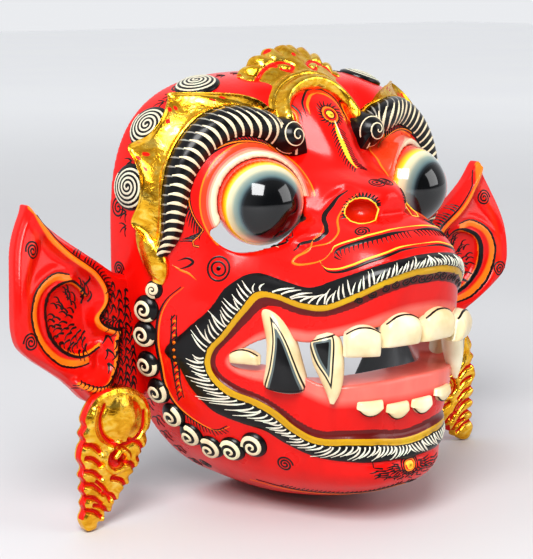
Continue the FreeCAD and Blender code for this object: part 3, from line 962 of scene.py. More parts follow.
def make_discs(shell):
    """Three domed discs at each temple, painted with spirals."""
    pale = Strokes()
    discs = [make_dome(shell, centre, 10.4, 2.8) for centre in flank(shell,
                                                                     ((57.0, -5.0), (37.5, -5.5),
                                                                      (20.5, -5.0)))]
    for disc in discs:
        disc.spiral(pale, 4.6, 0.9, 1.35, hand=-1.0, even=True, rise=0.25)
    add_domes("temple_discs", discs, "black_enamel_discs")
    pale.finish("temple_spirals", enamel("cream_spirals", linear(216, 210, 188), 0.3, 200),
                "black_painted_wood")


CURLS = ((-9, -17), (-15, -12.7), (-22.5, -10.5), (-31.3, -9.2), (-39, -11), (-46, -14.8), (-51.8, -20.2),
         (-55.8, -28.5), (-57.2, -39.5), (-57.8, -50.5))


def make_curls(shell):
    """The row of snail curls along the jaw."""
    pale = Strokes()
    curls = []
    for i, centre in enumerate(flank(shell, CURLS)):
        radius, height = (6.4, 3.6) if i else (4.2, 2.6)
        curls.append(make_dome(shell, centre, radius, height, power=0.62))
        curls[-1].spiral(pale, 1.7, 0.5, 2.2, phase=0.6 + 0.5 * i, rise=0.7, share_end=0.84)
    add_domes("jaw_curls", curls, "black_enamel_curls")
    pale.finish("jaw_curl_spirals", enamel("cream_curl_strokes", CREAM, 0.5, 160), "black_painted_wood")


CROWN_EDGE = ((27, -38, 185), (34, -33.5, 187), (43, -27, 188.5), (52, -19.5, 187.5), (59, -11, 186),
              (63.2, -5.4, 185.8), (66.5, -8.5, 186), (71, -12, 181.5), (75.2, -13, 176.8),
              (79, -10.5, 171.5), (82.2, -2.8, 166.6), (83.3, -8, 161.5), (84.3, -12.2, 156),
              (84.8, -13.6, 150), (85.2, -12.8, 143), (86, -9.6, 135.2), (85, -13, 131), (83.4, -17, 126))


def make_crown(shell, brow_edge):
    gold = gold_leaf()
    first = resample(brow_edge, 60)[8:58]
    edge = np.array(CROWN_EDGE)
    sharp = smooth_curve(edge, 6)
    shape = Patch(shell, first, sharp, lambda s, t: 1.0 + 1.6 * bump(t, 0.07) + 3.4 * t ** 2.2
                  + 0.9 * bump(t - 0.97, 0.05),
                  rows=150, columns=26)
    recess = np.zeros(len(shape.points))
    for s, t in ((0.40, 0.62), (0.43, 0.8), (0.47, 0.7), (0.62, 0.55), (0.655, 0.72), (0.69, 0.6),
                 (0.2, 0.75), (0.24, 0.6)):
        for turn in (0.0, 0.5):
            blot = np.hypot((shape.s - s - 0.012 * turn) * 130, (shape.t - t - 0.1 * turn) * 16)
            recess = np.maximum(recess, bump(blot, 1.3))
    add_pair("crown_band", shape.points, shape.faces, gold, "crown_band", {"recess": recess})
    moulding = shell.lay(shell.from_front(smooth_curve(BROW_OUTER)[8:]))
    up = moulding[1]
    points, faces = bar(moulding[0] + up * 1.2, up, 0.9, 1.3, 2.2, sides=10)
    add_pair("brow_moulding", points, faces, gold, values={"recess": np.zeros(len(points))})
    path = smooth_curve(((85.6, -10.5, 135), (84.6, -13.5, 128), (83.2, -18, 120), (82.4, -20, 113),
                         (82, -19.4, 107.5)), 8)
    places, up = shell.lay(path)
    s = np.linspace(0, 1, len(path))
    width = 1.6 + 4.4 * np.sin(math.pi * np.clip(s * 0.92, 0, 1)) ** 1.1
    points, faces = bar(places, up, width, 1.0 + 3.4 * np.sin(math.pi * np.clip(s, 0.02, 0.98)), 1.2,
                        sides=20)
    add_pair("crown_blade", points, faces, gold, values={"recess": np.zeros(len(points))})


CREST = ((0, 47.5), (6, 46.8), (11, 45.2), (12.2, 43.0), (17.5, 41.2), (21.4, 38.4), (21.4, 36.2),
         (26.2, 33.8), (29.4, 29.8), (28.6, 27.6), (32, 24.2), (33.6, 19.6), (32.2, 17.4), (34, 13),
         (33.4, 7.6), (29.8, 3.6), (24.6, 1.4), (20.6, 1.2), (18.4, 3.4), (18, 8.4), (15, 14), (10, 18),
         (5, 20.2), (0, 20.8))
CREST_ARCH = smooth_curve(((20.6, 1.5), (20.2, 6), (17.8, 12.2), (13.2, 17.8), (7, 21.4), (0, 22.6)), 8)
CREST_SCROLL = smooth_curve(((28, 13.5), (26.5, 21.5), (21.5, 29), (15, 34.4), (8.6, 36), (4.4, 33.2),
                             (7.4, 30.4),
                             (10.4, 32)), 6)
CREST_SPOTS = ((13, 34, 1.8), (23, 36.6, 1.7), (30.6, 28.6, 1.7), (34.6, 18.2, 1.7), (11.4, 43.2, 1.6),
               (28, 15, 1.3), (25, 24, 1.2), (0, 40, 1.3))
# the crest's own line over the forehead in side view: depth and height
CREST_LINE = ((-51.5, 168.0), (-42.5, 178.0), (-33.5, 187.2), (-25.0, 195.0), (-16.5, 202.0), (-7.3, 207.0),
              (3.0, 210.0))
CREST_START = 11.0


def crest_level(x, s, h):
    """Level function of the flat crest: across, along and through it."""
    flat_x, flat_s = x[:, :, 0], s[:, :, 0]
    d = loop_distance(flat_x, flat_s, smooth_loop(CREST, 5))
    rim = segment_distance(flat_x, flat_s, CREST_ARCH)
    away = np.clip((rim - 5) / 4, 0, 1)
    lobes = np.abs(np.sin(11.5 * np.arctan2(flat_s - 15, flat_x + 1e-6))) * away
    d = d + 2.4 * (1 - lobes) ** 2 * away - 1.2
    top = 2.2 + 1.3 * lobes * np.clip((9 + d) / 4, 0, 1) + 1.6 * np.clip(-d, 0, 2.4) / 2.4
    top = top + 3.0 * bump(rim, 2.9, 3.0)
    top = top + 1.1 * bump(rim - 5.4, 1.2, 3.0)
    top = top - 1.3 * bump(segment_distance(flat_x, flat_s, CREST_SCROLL), 1.1, 2.0)
    edge = smooth_min(d, rim - 2.6, 1.0)
    back = -0.3 - 3.7 * np.clip((flat_s - 26) / 6, 0, 1)
    level = smooth_max(edge[:, :, None] + 0 * h, h - top[:, :, None], 1.0)
    return smooth_max(level, back[:, :, None] - h, 0.5)


def bent_crest(x, s, h):
    """Flat crest places bent back along the dome and round the ridge."""
    profile = resample(smooth_curve(CREST_LINE, 10), 160)
    lengths = np.concatenate(([0], np.cumsum(np.linalg.norm(np.diff(profile, axis=0), axis=1))))
    slope = unit(np.gradient(profile, axis=0))
    py, pz, ty, tz = (np.interp(s + CREST_START, lengths, column)
                      for column in np.hstack((profile, slope)).T)
    sag = 7.6 * (np.abs(x) / 22.0) ** 1.6
    return np.column_stack((x, py - tz * h + sag + 3.0, pz + ty * h - 0.24 * sag - 0.5))


def make_crest():
    """The gilded leaf over the forehead: drawn flat, carved in relief, then bent."""
    step = 0.5
    xs = np.arange(-38.0, 38.0 + step, step)
    ss = np.arange(-7.0, 56.0, step)
    hs = np.arange(-7.0, 10.0, step)
    values = crest_level(np.abs(xs)[:, None, None], ss[None, :, None], hs[None, None, :])
    points, faces = mesh_level(values, (xs[0], ss[0], hs[0]), step)
    x, s, h = points.T
    spots = bump(segment_distance(np.abs(x), s, CREST_SCROLL), 1.0, 2.0)
    for spot_x, spot_s, radius in CREST_SPOTS:
        spots = np.maximum(spots, bump(np.hypot(np.abs(x) - spot_x, s - spot_s), radius, 3.0))
    spots = spots * (segment_distance(np.abs(x), s, CREST_ARCH) > 3.5)
    out = bent_crest(x, s, h)
    add_piece("crown_crest", out, turned_out(out, faces), gold_leaf("gold_leaf_crest"),
              ["crown_crest"],
              {"recess": spots})


def ear_depth(x, z):
    """Depth of the ear's middle: it comes forward towards its full outer edge."""
    reach = np.clip((x - 88.0) / 58.0, 0.0, 1.2)
    return -0.5 - 10.5 * reach ** 1.2 * step_up(-z, -124.0, 14.0)


EAR = ((135.3, 145.6), (137.6, 141.6), (142.6, 131.5), (145.6, 122.8), (148, 111), (149, 99), (148.6, 92),
       (146.2, 85.6), (139.5, 79.3), (131.5, 73.6), (123.4, 67.7), (117.6, 62.5), (110, 55.5), (98, 51),
       (84, 50), (74, 58), (76, 88), (82, 107), (92.5, 111.5), (100.6, 117), (108.3, 122.2), (119.2, 129.8),
       (127.8, 137))
EAR_RIDGE = ((135, 144.6), (131.9, 138.1), (127.9, 131.7), (123.3, 126.6), (117.9, 121.8), (112, 117.6),
             (107.3, 114.1), (103.4, 109.7), (100.7, 104.7), (100.4, 100), (102.2, 96.3), (104.2, 93.4),
             (104, 91), (101.6, 88.2), (97.4, 86.2), (93.4, 84.9), (94.9, 82), (95.4, 78.5), (95.5, 73.1),
             (96.9, 68.6), (100.5, 64.6), (105.7, 62.6), (110.8, 62.8), (115, 64.4), (117.5, 65.9))
EAR_OUTER_ARC = ((118.4, 114.3), (125, 115.8), (130.8, 114.1), (136.1, 110.5), (139.5, 104.8),
                 (140.5, 98.6), (139.4, 92.1), (136, 85.1), (131.3, 79.7), (125.6, 75.4), (119, 73.1),
                 (113.1, 72.6), (108.8, 73.2))
EAR_INNER_ARC = ((108.7, 103.9), (112.7, 108.4), (117.4, 111.3), (123.2, 110.6), (129.2, 107.6),
                 (131.9, 102.9), (132.2, 97.3), (130.9, 90.6), (127, 84.7), (121.3, 79.8), (113.8, 76.8),
                 (107, 77.5), (102.2, 79.3))
EAR_DISH = ((129.8, 133), (123, 124), (114, 116.5), (106.5, 110.5), (103.4, 105), (103.2, 100), (106, 96.5),
            (107, 92), (104, 86.6), (98.4, 83.6), (99.4, 76), (102, 69.6), (108, 67), (116, 69), (127, 74),
            (137, 83), (143.5, 93), (144, 104), (141, 116), (135, 127))


def make_ears():
    ridge = smooth_curve(EAR_RIDGE, 6)
    outer_arc = smooth_curve(EAR_OUTER_ARC, 6)
    inner_arc = smooth_curve(EAR_INNER_ARC, 6)
    outline = smooth_curve(EAR, 5, closed=True)
    dish = smooth_curve(EAR_DISH, 5, closed=True)
    concha = np.vstack((inner_arc, smooth_curve(((102.2, 79.3), (99, 84), (101, 88.5), (105.5, 92),
                                                 (104.5, 98), (108.7, 103.9)), 5)))

    def front(x, z):
        """How far the ear's face stands in front of its middle plane."""
        d = loop_distance(x, z, outline)
        rise = 2.4 + 3.2 * bump(segment_distance(x, z, ridge), 2.4, 2.0)
        rise = rise - 2.6 * step_up(-loop_distance(x, z, dish), 1.5, 2.0)
        rise = rise + 1.7 * bump(segment_distance(x, z, outer_arc) - 1.4, 2.6)
        rise = rise - 2.2 * step_up(-loop_distance(x, z, concha), 1.0, 1.4)
        rise = rise + 1.4 * bump(segment_distance(x, z, inner_arc), 1.6)
        rise = np.maximum(rise - 2.8 * bump(np.hypot(x - 107.5, z - 92), 7.5), -3.4)
        rise = rise + 4.5 * bump(np.hypot(x - 107, z - 60), 9.0, 3.0)
        return rise * np.clip(-d / 2.0, 0.35, 1.0), d

    step = 0.62
    xs = np.arange(70.0, 152.0, step)
    zs = np.arange(46.0, 150.0, step)
    ys = np.arange(-20.5, 12.0, step)
    face, d = front(xs[:, None], zs[None, :])
    middle = ear_depth(xs[:, None], zs[None, :])
    y = ys[None, :, None]
    level = smooth_max((middle - face)[:, None, :] - y, y - (middle + 5.6)[:, None, :], 1.6)
    level = smooth_max(level, d[:, None, :], 1.6)
    inside = true_distance(rounded_head(np.full((len(xs), 1, len(zs)), 60.0), xs[:, None, None], y,
                                        zs[None, None, :], 2.2), step)
    level = smooth_max(level, -inside, 0.8)
    points, faces = mesh_level(level, (xs[0], ys[0], zs[0]), step)
    x, z = points[:, 0], points[:, 2]
    # Orange on the raised parts of the ear's front: the ridge carries an orange painted line, and the bands
    # on the raised outer and inner arcs are painted highlight on their rims; a faint orange is also mixed
    # in near the outer edge.
    inward = inside_loop(x, z, np.vstack((outer_arc, outer_arc[:1])))
    tone = bump(segment_distance(x, z, outer_arc), 3.4, 4.0) * inward
    tone = np.maximum(tone, bump(segment_distance(x, z, ridge), 1.15, 3.0))
    tone = np.maximum(tone, bump(segment_distance(x, z, inner_arc), 2.1, 4.0) * inside_loop(x, z, concha))
    tone = np.maximum(tone, 0.3 * bump(loop_distance(x, z, outline) + 7.0, 6.0) * (x > 120))
    tone = np.where(points[:, 1] < ear_depth(x, z) + 0.5, tone, 0.0)
    paint = Paint("red_enamel_ears", 0.3, coat=0.25)
    # tone mixes in orange: an orange painted line on the ridge, and painted highlight on the raised arcs.
    colour = paint.mix(paint.above(paint.value("tone"), 0.45, 0.18), RED, ORANGE)
    paint.uneven(120.0, 0.00025)
    add_pair("ear", points, faces, paint.colour(paint.brushed(colour, 0.45, 60.0)),
             "ear", {"tone": tone})
    return Surface(points, faces), ridge, outer_arc, inner_arc


PENDANT = ((100.5, 62.8), (93.5, 61.6), (87.4, 57.6), (84.2, 52), (83.6, 46), (84.6, 41.6), (86.4, 39.6),
           (85.8, 36), (87.6, 31.6), (90.2, 29.6), (89.8, 26.8), (92.4, 22.6), (95.4, 20.8), (95.4, 17.6),
           (98.6, 15.2), (100.6, 13.4), (101, 10.8), (104, 9.4), (105.4, 6.2), (108.4, 6.0), (109.0, 2.8),
           (112.4, 3.0), (113.5, 0.4), (118.4, 0.2), (121.4, 6), (119.6, 10), (120.6, 13.2), (119.0, 16),
           (121.0, 19.6), (119.2, 22.6), (121.2, 26), (119.6, 29.4), (122.0, 34), (121.0, 39),
           (119.0, 41.6), (120.6, 45), (118.4, 48), (119.2, 51.4), (116, 57), (110.4, 61.4))


def make_pendants():
    outline = smooth_curve(PENDANT, 4, closed=True)
    scroll = smooth_curve(((101, 37.5), (106.5, 36), (108.6, 30), (104.5, 25.2), (98.6, 26.2), (96.6, 31),
                           (99.8, 34), (103, 31.6)), 6)
    crescent = smooth_curve(((87.6, 50), (88.6, 42), (94.5, 36.8), (102, 37), (108.4, 42), (110.4, 49.5),
                             (108, 56)), 6)
    outer_crescent = smooth_curve(((106, 36.2), (112.5, 41), (115, 48), (113, 55)), 6)
    leaves = [((118.5, z + 2.4), (114.5, z + 1.2), (110.6, z - 2.4))
              for z in (37.5, 31.5, 25.5, 19.5, 13.5, 7.5)]
    leaves += [((x - 2.2, z - 1), (x + 0.6, z + 3), (x + 5.6, z + 5)) for x,
               z in ((90, 33), (94, 24), (99, 17), (104, 11), (109, 6.5))]
    leaves.append(((113, 22), (109, 18), (106, 12.5)))

    def relief_at(x, z):
        d = loop_distance(x, z, outline)
        groove = np.full(d.shape, 99.0)
        for leaf in leaves:
            groove = np.minimum(groove, segment_distance(x, z, smooth_curve(leaf, 5)))
        groove = np.minimum(groove, segment_distance(x, z, crescent))
        boss = np.hypot((x - 98.6) / 0.86, z - 49.0)
        coil = segment_distance(x, z, scroll)
        rise = 2.2 + 1.0 * np.clip(-d / 2.4, 0, 1) - 2.1 * bump(groove, 0.95) + 1.8 * bump(coil, 1.3, 3.0)
        rise = rise - 1.6 * bump(np.hypot(x - 102.4, z - 30.6), 5.6, 3.0) * (coil > 1.4)
        rise = (rise + 2.2 * bump(boss, 8.6, 5.0)
                + 1.2 * bump(segment_distance(x, z, outer_crescent), 1.4, 3.0))
        recess = np.maximum(bump(groove, 0.85, 3.0), bump(np.hypot(x - 102.4, z - 30.6), 4.6, 4.0)
                            * (coil > 1.2))
        recess = np.maximum(recess, step_up(d, -0.75, 0.15) * (x > 104) * (z > 6) * 0.9)
        return rise, d, recess

    step = 0.42
    xs = np.arange(81.0, 125.0, step)
    zs = np.arange(-1.0, 66.0, step)
    hs = np.arange(-4.5, 7.0, step)
    rise, d, _ = relief_at(xs[:, None], zs[None, :])
    h = hs[None, :, None]
    level = smooth_max(h - rise[:, None, :], -2.6 - h + 0 * rise[:, None, :], 0.8)
    level = smooth_max(level, d[:, None, :], 0.8)
    points, faces = mesh_level(level, (xs[0], hs[0], zs[0]), step)
    x, h, z = points.T
    recess = relief_at(x, z)[2] * (h > -1.0) + (h < -2.2)
    points = np.column_stack((x, -13.0 - h - 0.0035 * (x - 100) ** 2, np.maximum(z, 0.0)))
    add_pair("ear_pendant", points, faces, gold_leaf("gold_leaf_pendants"), "ear_pendant",
             {"recess": recess})


def make_pins():
    """The bent brass pin that holds each pendant in the ear's lobe."""
    path = smooth_curve(((106, -13.2, 53.4), (106, -13.2, 57), (106, -13.0, 60.5), (106, -10.6, 62.2),
                         (106, -6.0, 62.6), (106, -2.0, 62.6)), 6)
    points, faces = bar(path, np.array((1.0, 0.0, 0.0)), 1.2, 1.2, 1.2, sides=14, power=1.0)
    peg, sides = bar(smooth_curve(((79.5, 4.0, 84), (84, 3.0, 84), (100, 0.2, 84)), 8),
                     np.array((0.0, 0.0, 1.0)), 2.3, 2.3, 2.3,
                     sides=20, power=1.0)
    add_pair("ear_peg", peg, sides, enamel("bare_wood", linear(168, 116, 70), 0.5, 60.0, 0.55),
             "ear_peg")
    add_pair("pendant_pin", points, faces, enamel("brass_pin", linear(190, 150, 70), 0.4, 90.0, 0.35),
             "pendant_pin")


def make_eye(name, side, turn, nod):
    """A turned eyeball; its rings are painted round the direction that it looks in."""
    aim = np.array((math.sin(math.radians(turn)) * side,
                    -math.cos(math.radians(turn)) * math.cos(math.radians(nod)),
                    math.sin(math.radians(nod))))
    aim = unit(aim)
    level = unit(np.cross(aim, (0, 0, 1.0)))
    up = np.cross(level, aim)
    rows = []
    angles = np.linspace(0.4, 179.0, 80)
    around = np.linspace(0, 2 * math.pi, 72, endpoint=False)
    for degrees in angles:
        a = math.radians(degrees)
        radius = EYE_RADIUS + 0.7 * float(bump(degrees, 36.0, 3.0))
        rows.append(aim * (radius * math.cos(a)) + spokes(level, up, around, radius * math.sin(a)))
    points, faces = closed_rings(np.array(rows))
    points = points + EYE * (side, 1, 1)
    gaze = np.repeat(angles, len(around))
    add_piece(name, points, turned_out(points, faces), eye_paint(), [name],
              {"gaze": gaze})


def make_tooth(name, centre, size, arch, paint, turn=None, flip=1.0):
    """A broad tooth: arched at the gum, fuller in the middle, and level at the biting edge."""
    x, y, z = centre
    width, depth, height = size
    if turn is None:
        turn = math.atan(0.0092 * x + 1.44e-5 * x ** 3)
    u = np.linspace(-1, 1, 25)
    rows = []
    for v in np.linspace(-1, 1, 25):
        squeeze = (1 - abs(v) ** 5) ** 0.25 if v < 0 else (1 - abs(v) ** 4) ** 0.3
        across = u * width / 2 * (0.92 + 0.08 * squeeze)
        full = depth / 2 * np.clip(1 - np.abs(u) ** 6, 0, 1) ** 0.35 * max(squeeze, 0.05)
        lift = (v * height / 2 - arch * np.abs(u) ** 2.2 * max(v, 0.0)) * flip
        front = np.column_stack((across, -full * (1.1 + 0.25 * bump(v, 0.6)), lift))
        rear = np.column_stack((across[::-1], full[::-1], lift[::-1]))
        rows.append(np.vstack((front, rear)))
    points, faces = closed_rings(np.array(rows))
    c, s = math.cos(turn), math.sin(turn)

    def placed(local):
        return np.column_stack((local[:, 0] * c - local[:, 1] * s + x,
                                local[:, 0] * s + local[:, 1] * c + y, local[:, 2] + z))

    points = placed(points)
    add_pair(name, points, faces, paint, name, {"panel": np.full(len(points), -1.0)})
    gum_edge = placed(rows[23][1:24])
    return Surface(points, turned_out(points, faces)), gum_edge


def make_horn(name, node, stations, panel, paint):
    """A curved tusk through stations of (centre, half width across, half depth); the first station also
    gives the direction across.
    """
    centres = smooth_curve([s[0] for s in stations], 12)
    wide = smooth_curve([(s[1], s[2]) for s in stations], 12)
    side = unit(np.array(stations[0][3]))
    rows, panels = [], []
    around = np.linspace(0, 2 * math.pi, 48, endpoint=False)
    along = unit(np.gradient(centres, axis=0))
    for i, (centre, (a, b), ahead) in enumerate(zip(centres, wide, along)):
        across = unit(side - ahead * (side @ ahead))
        facing = np.cross(across, ahead)
        facing = facing * np.sign(facing @ (-0.3, -1.0, 0.0))
        rows.append(centre + np.outer(np.cos(around) * a, across) + np.outer(np.sin(around) * b, facing))
        share = i / (len(centres) - 1.0)
        panels.append([panel(share, math.cos(t), math.sin(t)) for t in around])
    points, faces = closed_rings(np.array(rows))
    values = {"panel": np.array(panels).ravel()}
    add_pair(name, points, faces, paint, node, values)
    return np.array(rows), Surface(points, turned_out(points, faces))


# ---- painted ornament
def swirl(strokes, surface, centre, outer, inner, turns, width, hand=1.0, phase=0.0, both=True):
    """A painted spiral round a point of a surface."""
    place, level, up, _ = frame_at(surface, centre)
    count = int(20 * turns) + 6
    s = np.linspace(0, 1, count)
    radius = outer + (inner - outer) * s
    angle = phase + hand * 2 * math.pi * turns * s
    strokes.lay(surface, place + spokes(level, up, angle, radius), np.full(count, width), both=both)


def dot(strokes, surface, centre, radius, both=True):
    swirl(strokes, surface, centre, radius * 0.5, 0.05, 1.5, radius * 1.02, both=both)


def ray_hairs(strokes, surface, centre, first, last, start, end, count, width, bend=0.3, both=True,
              squash=1.0):
    """Hairs that radiate from a point between two angles."""
    place, level, up, _ = frame_at(surface, centre)
    for degrees in np.linspace(first, last, count):
        s = np.linspace(0, 1, 6)
        angle = math.radians(degrees) + bend * s
        reach = (start + (end - start) * s) * (1 + 0.12 * RNG.uniform(-1, 1))
        strokes.lay(surface, place + spokes(level, up, angle, reach, squash),
                    np.linspace(width, width * 0.3, 6), both=both)


def band_hairs(strokes, shell):
    """Groups of curved hairs across the black band round the mouth."""
    inner = smooth_curve(BAND_INNER, 12)
    outer = smooth_loop(BAND_OUTER)
    inner = inner[inner[:, 0] >= 0.4]
    run = np.linalg.norm(np.diff(inner, axis=0), axis=1).sum()
    count = int(run / 1.7)
    roots = resample(inner, count)
    ahead = unit(np.gradient(roots, axis=0))
    for i, (root, along) in enumerate(zip(roots, ahead)):
        gaps = np.linalg.norm(outer - root, axis=1)
        away = unit(outer[np.argmin(gaps)] - root)
        if root[0] < 2.0:
            away = np.array((0.0, np.sign(away[1])))
        span = gaps.min()
        place = i % 5
        reach = span * (0.88 - 0.07 * place) * (1 + 0.06 * RNG.uniform(-1, 1))
        s = np.linspace(0.13, 1, 9)[:, None]
        lean = 0.62 * span * (s ** 2.2) - 0.05 * place * span
        line = root + away * s * reach - along * lean * 0.8
        line[:, 0] = np.maximum(line[:, 0], 0.2)
        strokes.lay(shell, shell.from_front(line), tapered(9, 1.1 if place < 4 else 0.9, 0.9, 0.3))


def paint_lids(ink, orange, shell):
    """Lashes and lines round the eye."""
    around = np.radians(np.linspace(136, -34, 60))
    lid_line = np.column_stack((46.5 + 24.6 * np.cos(around), 146 + 24.3 * np.sin(around)))
    lid_line = np.vstack((lid_line, ((68.6, 129.6), (70.6, 127.4), (70.4, 125.4), (68.6, 124.9))))
    line3 = shell.lay(shell.from_front(lid_line))[0]
    for strokes, rise, width in ((orange, 0.35, 1.1), (ink, 0.2, 1.9)):
        places, normals = shell.lay(line3)
        strokes.add(places, normals, tapered(len(places), width, 0.3, 0.6), rise=rise)
    comb(ink, shell, line3[6:62], 3.4, 1.5, 0.85, lean=0.9, curl=0.35)


def paint_nose(ink, orange, yellow, shell):
    """The wing of the nose, its folds and the nostril."""
    crease = ((13.9, 149.2), (17.2, 146.1), (21, 141.6), (25.3, 137.1), (29.3, 132.9), (33.4, 129.7),
              (38.1, 127.6), (41.6, 124.8))
    face_stroke(ink, shell, crease, 2.6)
    face_stroke(orange, shell, [(x - 1.3, z - 1.1) for x, z in crease], 0.9, rise=0.3)
    face_stroke(orange, shell, ((28.4, 134.9), (33, 131.2), (37.7, 125.4), (41.4, 122.6), (43.3, 120),
                                (41.2, 119.4), (36, 122), (31.1, 128)),
                1.0)
    face_stroke(ink, shell, ((38.4, 132.8), (40.3, 129.5), (43.4, 127.3), (45.6, 127.2), (44.8, 128.6)),
                0.9)
    nostril_x, _, nostril_z = NOSTRIL
    across = float(skin_y(nostril_x + 4, nostril_z) - skin_y(nostril_x - 4, nostril_z)) / 8
    rise = float(skin_y(nostril_x, nostril_z + 4) - skin_y(nostril_x, nostril_z - 4)) / 8
    out = unit(np.array((across, -1.0, rise)))
    centre = NOSTRIL + out * 3.0
    level = unit(np.cross(out, (0, 0, 1.0)))
    up = np.cross(level, out)
    around = np.linspace(0, 2 * math.pi, 40)
    yellow.lay(shell, centre + spokes(level, up, around, 6.3, 0.86), 0.55)
    for k in range(18):
        angle = math.radians(12 + 11 * k)
        ink.lay(shell, centre + spokes(level, up, angle, np.linspace(6.9, 10.2, 4), 0.86),
                np.linspace(1.2, 0.4, 4))
    rings_at(ink, shell, (2.7, -75.6, 152.5), (3.4, 2.0), 0.55)
    dot(ink, shell, (2.7, -75.6, 152.5), 0.8)


def paint_muzzle(ink, yellow, shell):
    """Lines and curls of the muzzle and the upper lip."""
    upper = ((33, 125.2), (31.3, 127.6), (27.1, 129.9), (20, 132.4), (12, 134), (6.1, 134.4), (0, 134.4))
    face_stroke(yellow, shell, upper, 0.9, rise=0.3)
    face_stroke(ink, shell, [(x, z - 1.3) for x, z in upper], 1.7)
    lower = ((36.9, 120.4), (36.6, 117.6), (34, 117.6), (30, 119.6), (24.6, 122.6), (17, 125.2),
             (11.4, 126.6), (5, 127), (0, 127))
    face_stroke(ink, shell, lower, 1.2)
    face_stroke(yellow, shell, [(x, z + 1.2) for x, z in lower], 0.8, rise=0.3)
    lip_line = shell.from_front(resample(smooth_curve([(x, z - 1.6) for x, z in upper]), 40))
    comb(ink, shell, lip_line[:38], 3.6, 1.9, 0.7, lean=-0.4)
    swirl(ink, shell, (20.7, -85.9, 134.6), 3.4, 0.5, 2.2, 0.7)
    heights = np.linspace(132, 96, 240)
    for i in range(7):
        x = 2.0 + 4.6 * i
        z = heights[np.argmax(ring_place(np.full(240, x), heights) > 2.42)]
        swirl(ink, shell, shell.from_front([(x, z)])[0], 2.7 - 0.14 * i, 0.5, 1.5, 0.62,
              hand=1.0 if i % 2 else -1.0, phase=0.6 * i)


def paint_spots(ink, orange, shell):
    """Circles and spirals on the bare red."""
    rings_at(ink, shell, (62.2, -39.1, 115.3), (5.1, 3.1), 0.75)
    dot(ink, shell, (62.2, -39.1, 115.3), 1.1)
    for centre, size in (((43, -61.8, 28), 4.0), ((49.5, -10.6, 16.7), 4.0), ((87.3, 2.6, 139.8), 5.0),
                         ((54.6, 0.6, 192), 4.6),
                         ((20, -12, 196.5), 4.4), ((87.5, 2.5, 112), 3.6)):
        swirl(ink, shell, centre, size, 0.5, 2.4, 0.75)
    face_stroke(ink, shell, ((75.4, 118.6), (72.6, 119.8), (70.8, 118.2), (72.4, 116.2), (75.4, 114.6)),
                1.0)
    face_stroke(orange, shell, ((77, 116.6), (74.6, 114.4), (72.2, 113), (70, 110.2)), 0.9)


def paint_forehead(ink, pale, orange, yellow, red, shell):
    """The jewel of the forehead and the line down the nose."""
    jewel = (0.0, -40.1, 179.6)
    ray_hairs(ink, shell, jewel, 0, 345, 4.8, 7.6, 22, 0.85, bend=0.2, both=False)
    rings_at(orange, shell, jewel, (4.0,), 1.0, both=False)
    rings_at(red, shell, jewel, (3.1,), 1.2, both=False)
    rings_at(ink, shell, jewel, (2.5, 4.9), 0.45, both=False)
    dot(yellow, shell, jewel, 2.1, both=False)
    face_stroke(orange, shell, ((9.5, 180), (8.4, 184.6), (4.6, 188), (0, 189)), 1.3)
    face_stroke(ink, shell, ((11, 179), (9.9, 185.4), (5.2, 189.8), (0, 190.6)), 0.9)
    face_stroke(orange, shell, ((19.6, 183.6), (16.2, 183.4), (14.4, 180.6), (14.9, 177.2), (16.4, 175)),
                1.3)
    face_stroke(ink, shell, ((21.6, 184.8), (16, 185.4), (12.8, 181.6), (13.2, 176.6)), 0.8)
    nose_line = ((0.2, 176.6), (-0.4, 172), (-0.8, 166), (-0.6, 160.6), (0, 157.0))
    face_stroke(yellow, shell, nose_line, 2.3, both=False)
    face_stroke(pale, shell, ((0.4, 177), (0.2, 173), (0, 169)), 1.4, both=False, rise=0.5)
    spine = shell.from_front(resample(smooth_curve(nose_line), 24)[3:])
    for side in (1, -1):
        comb(ink, shell, spine + (side * 1.2, 0, 0), 3.0 * side, 1.5, 0.7, lean=0.7, both=False)


def paint_chin(ink, orange, yellow, shell):
    """Flower and line of the chin."""
    flower = (0.0, -94.6, 27.5)
    dot(yellow, shell, flower, 2.3, both=False)
    rings_at(orange, shell, flower, (2.9,), 0.8, both=False)
    rings_at(ink, shell, flower, (3.6, 5.0), 0.6, both=False)
    for k, (start, end, count) in enumerate(((6.2, 10.0, 15), (9.6, 14.5, 17), (13.8, 19.5, 17),
                                             (18.5, 24.5, 13))):
        ray_hairs(ink, shell, flower, -200 + 7 * k, 20 - 7 * k, start, end, count, 0.75,
                  bend=0.12 * (-1) ** k, both=False, squash=0.45)
    chin = ((43, 15.6), (34, 13.2), (24, 13.0), (13, 14.8), (3, 18), (0, 18.4))
    face_stroke(ink, shell, chin, 0.9)
    face_stroke(orange, shell, [(x, z - 1.2) for x, z in chin], 0.8, rise=0.25)
    comb(ink, shell, shell.from_front(resample(smooth_curve(chin), 36))[5:34], -3.2, 1.9, 0.7, lean=0.5)


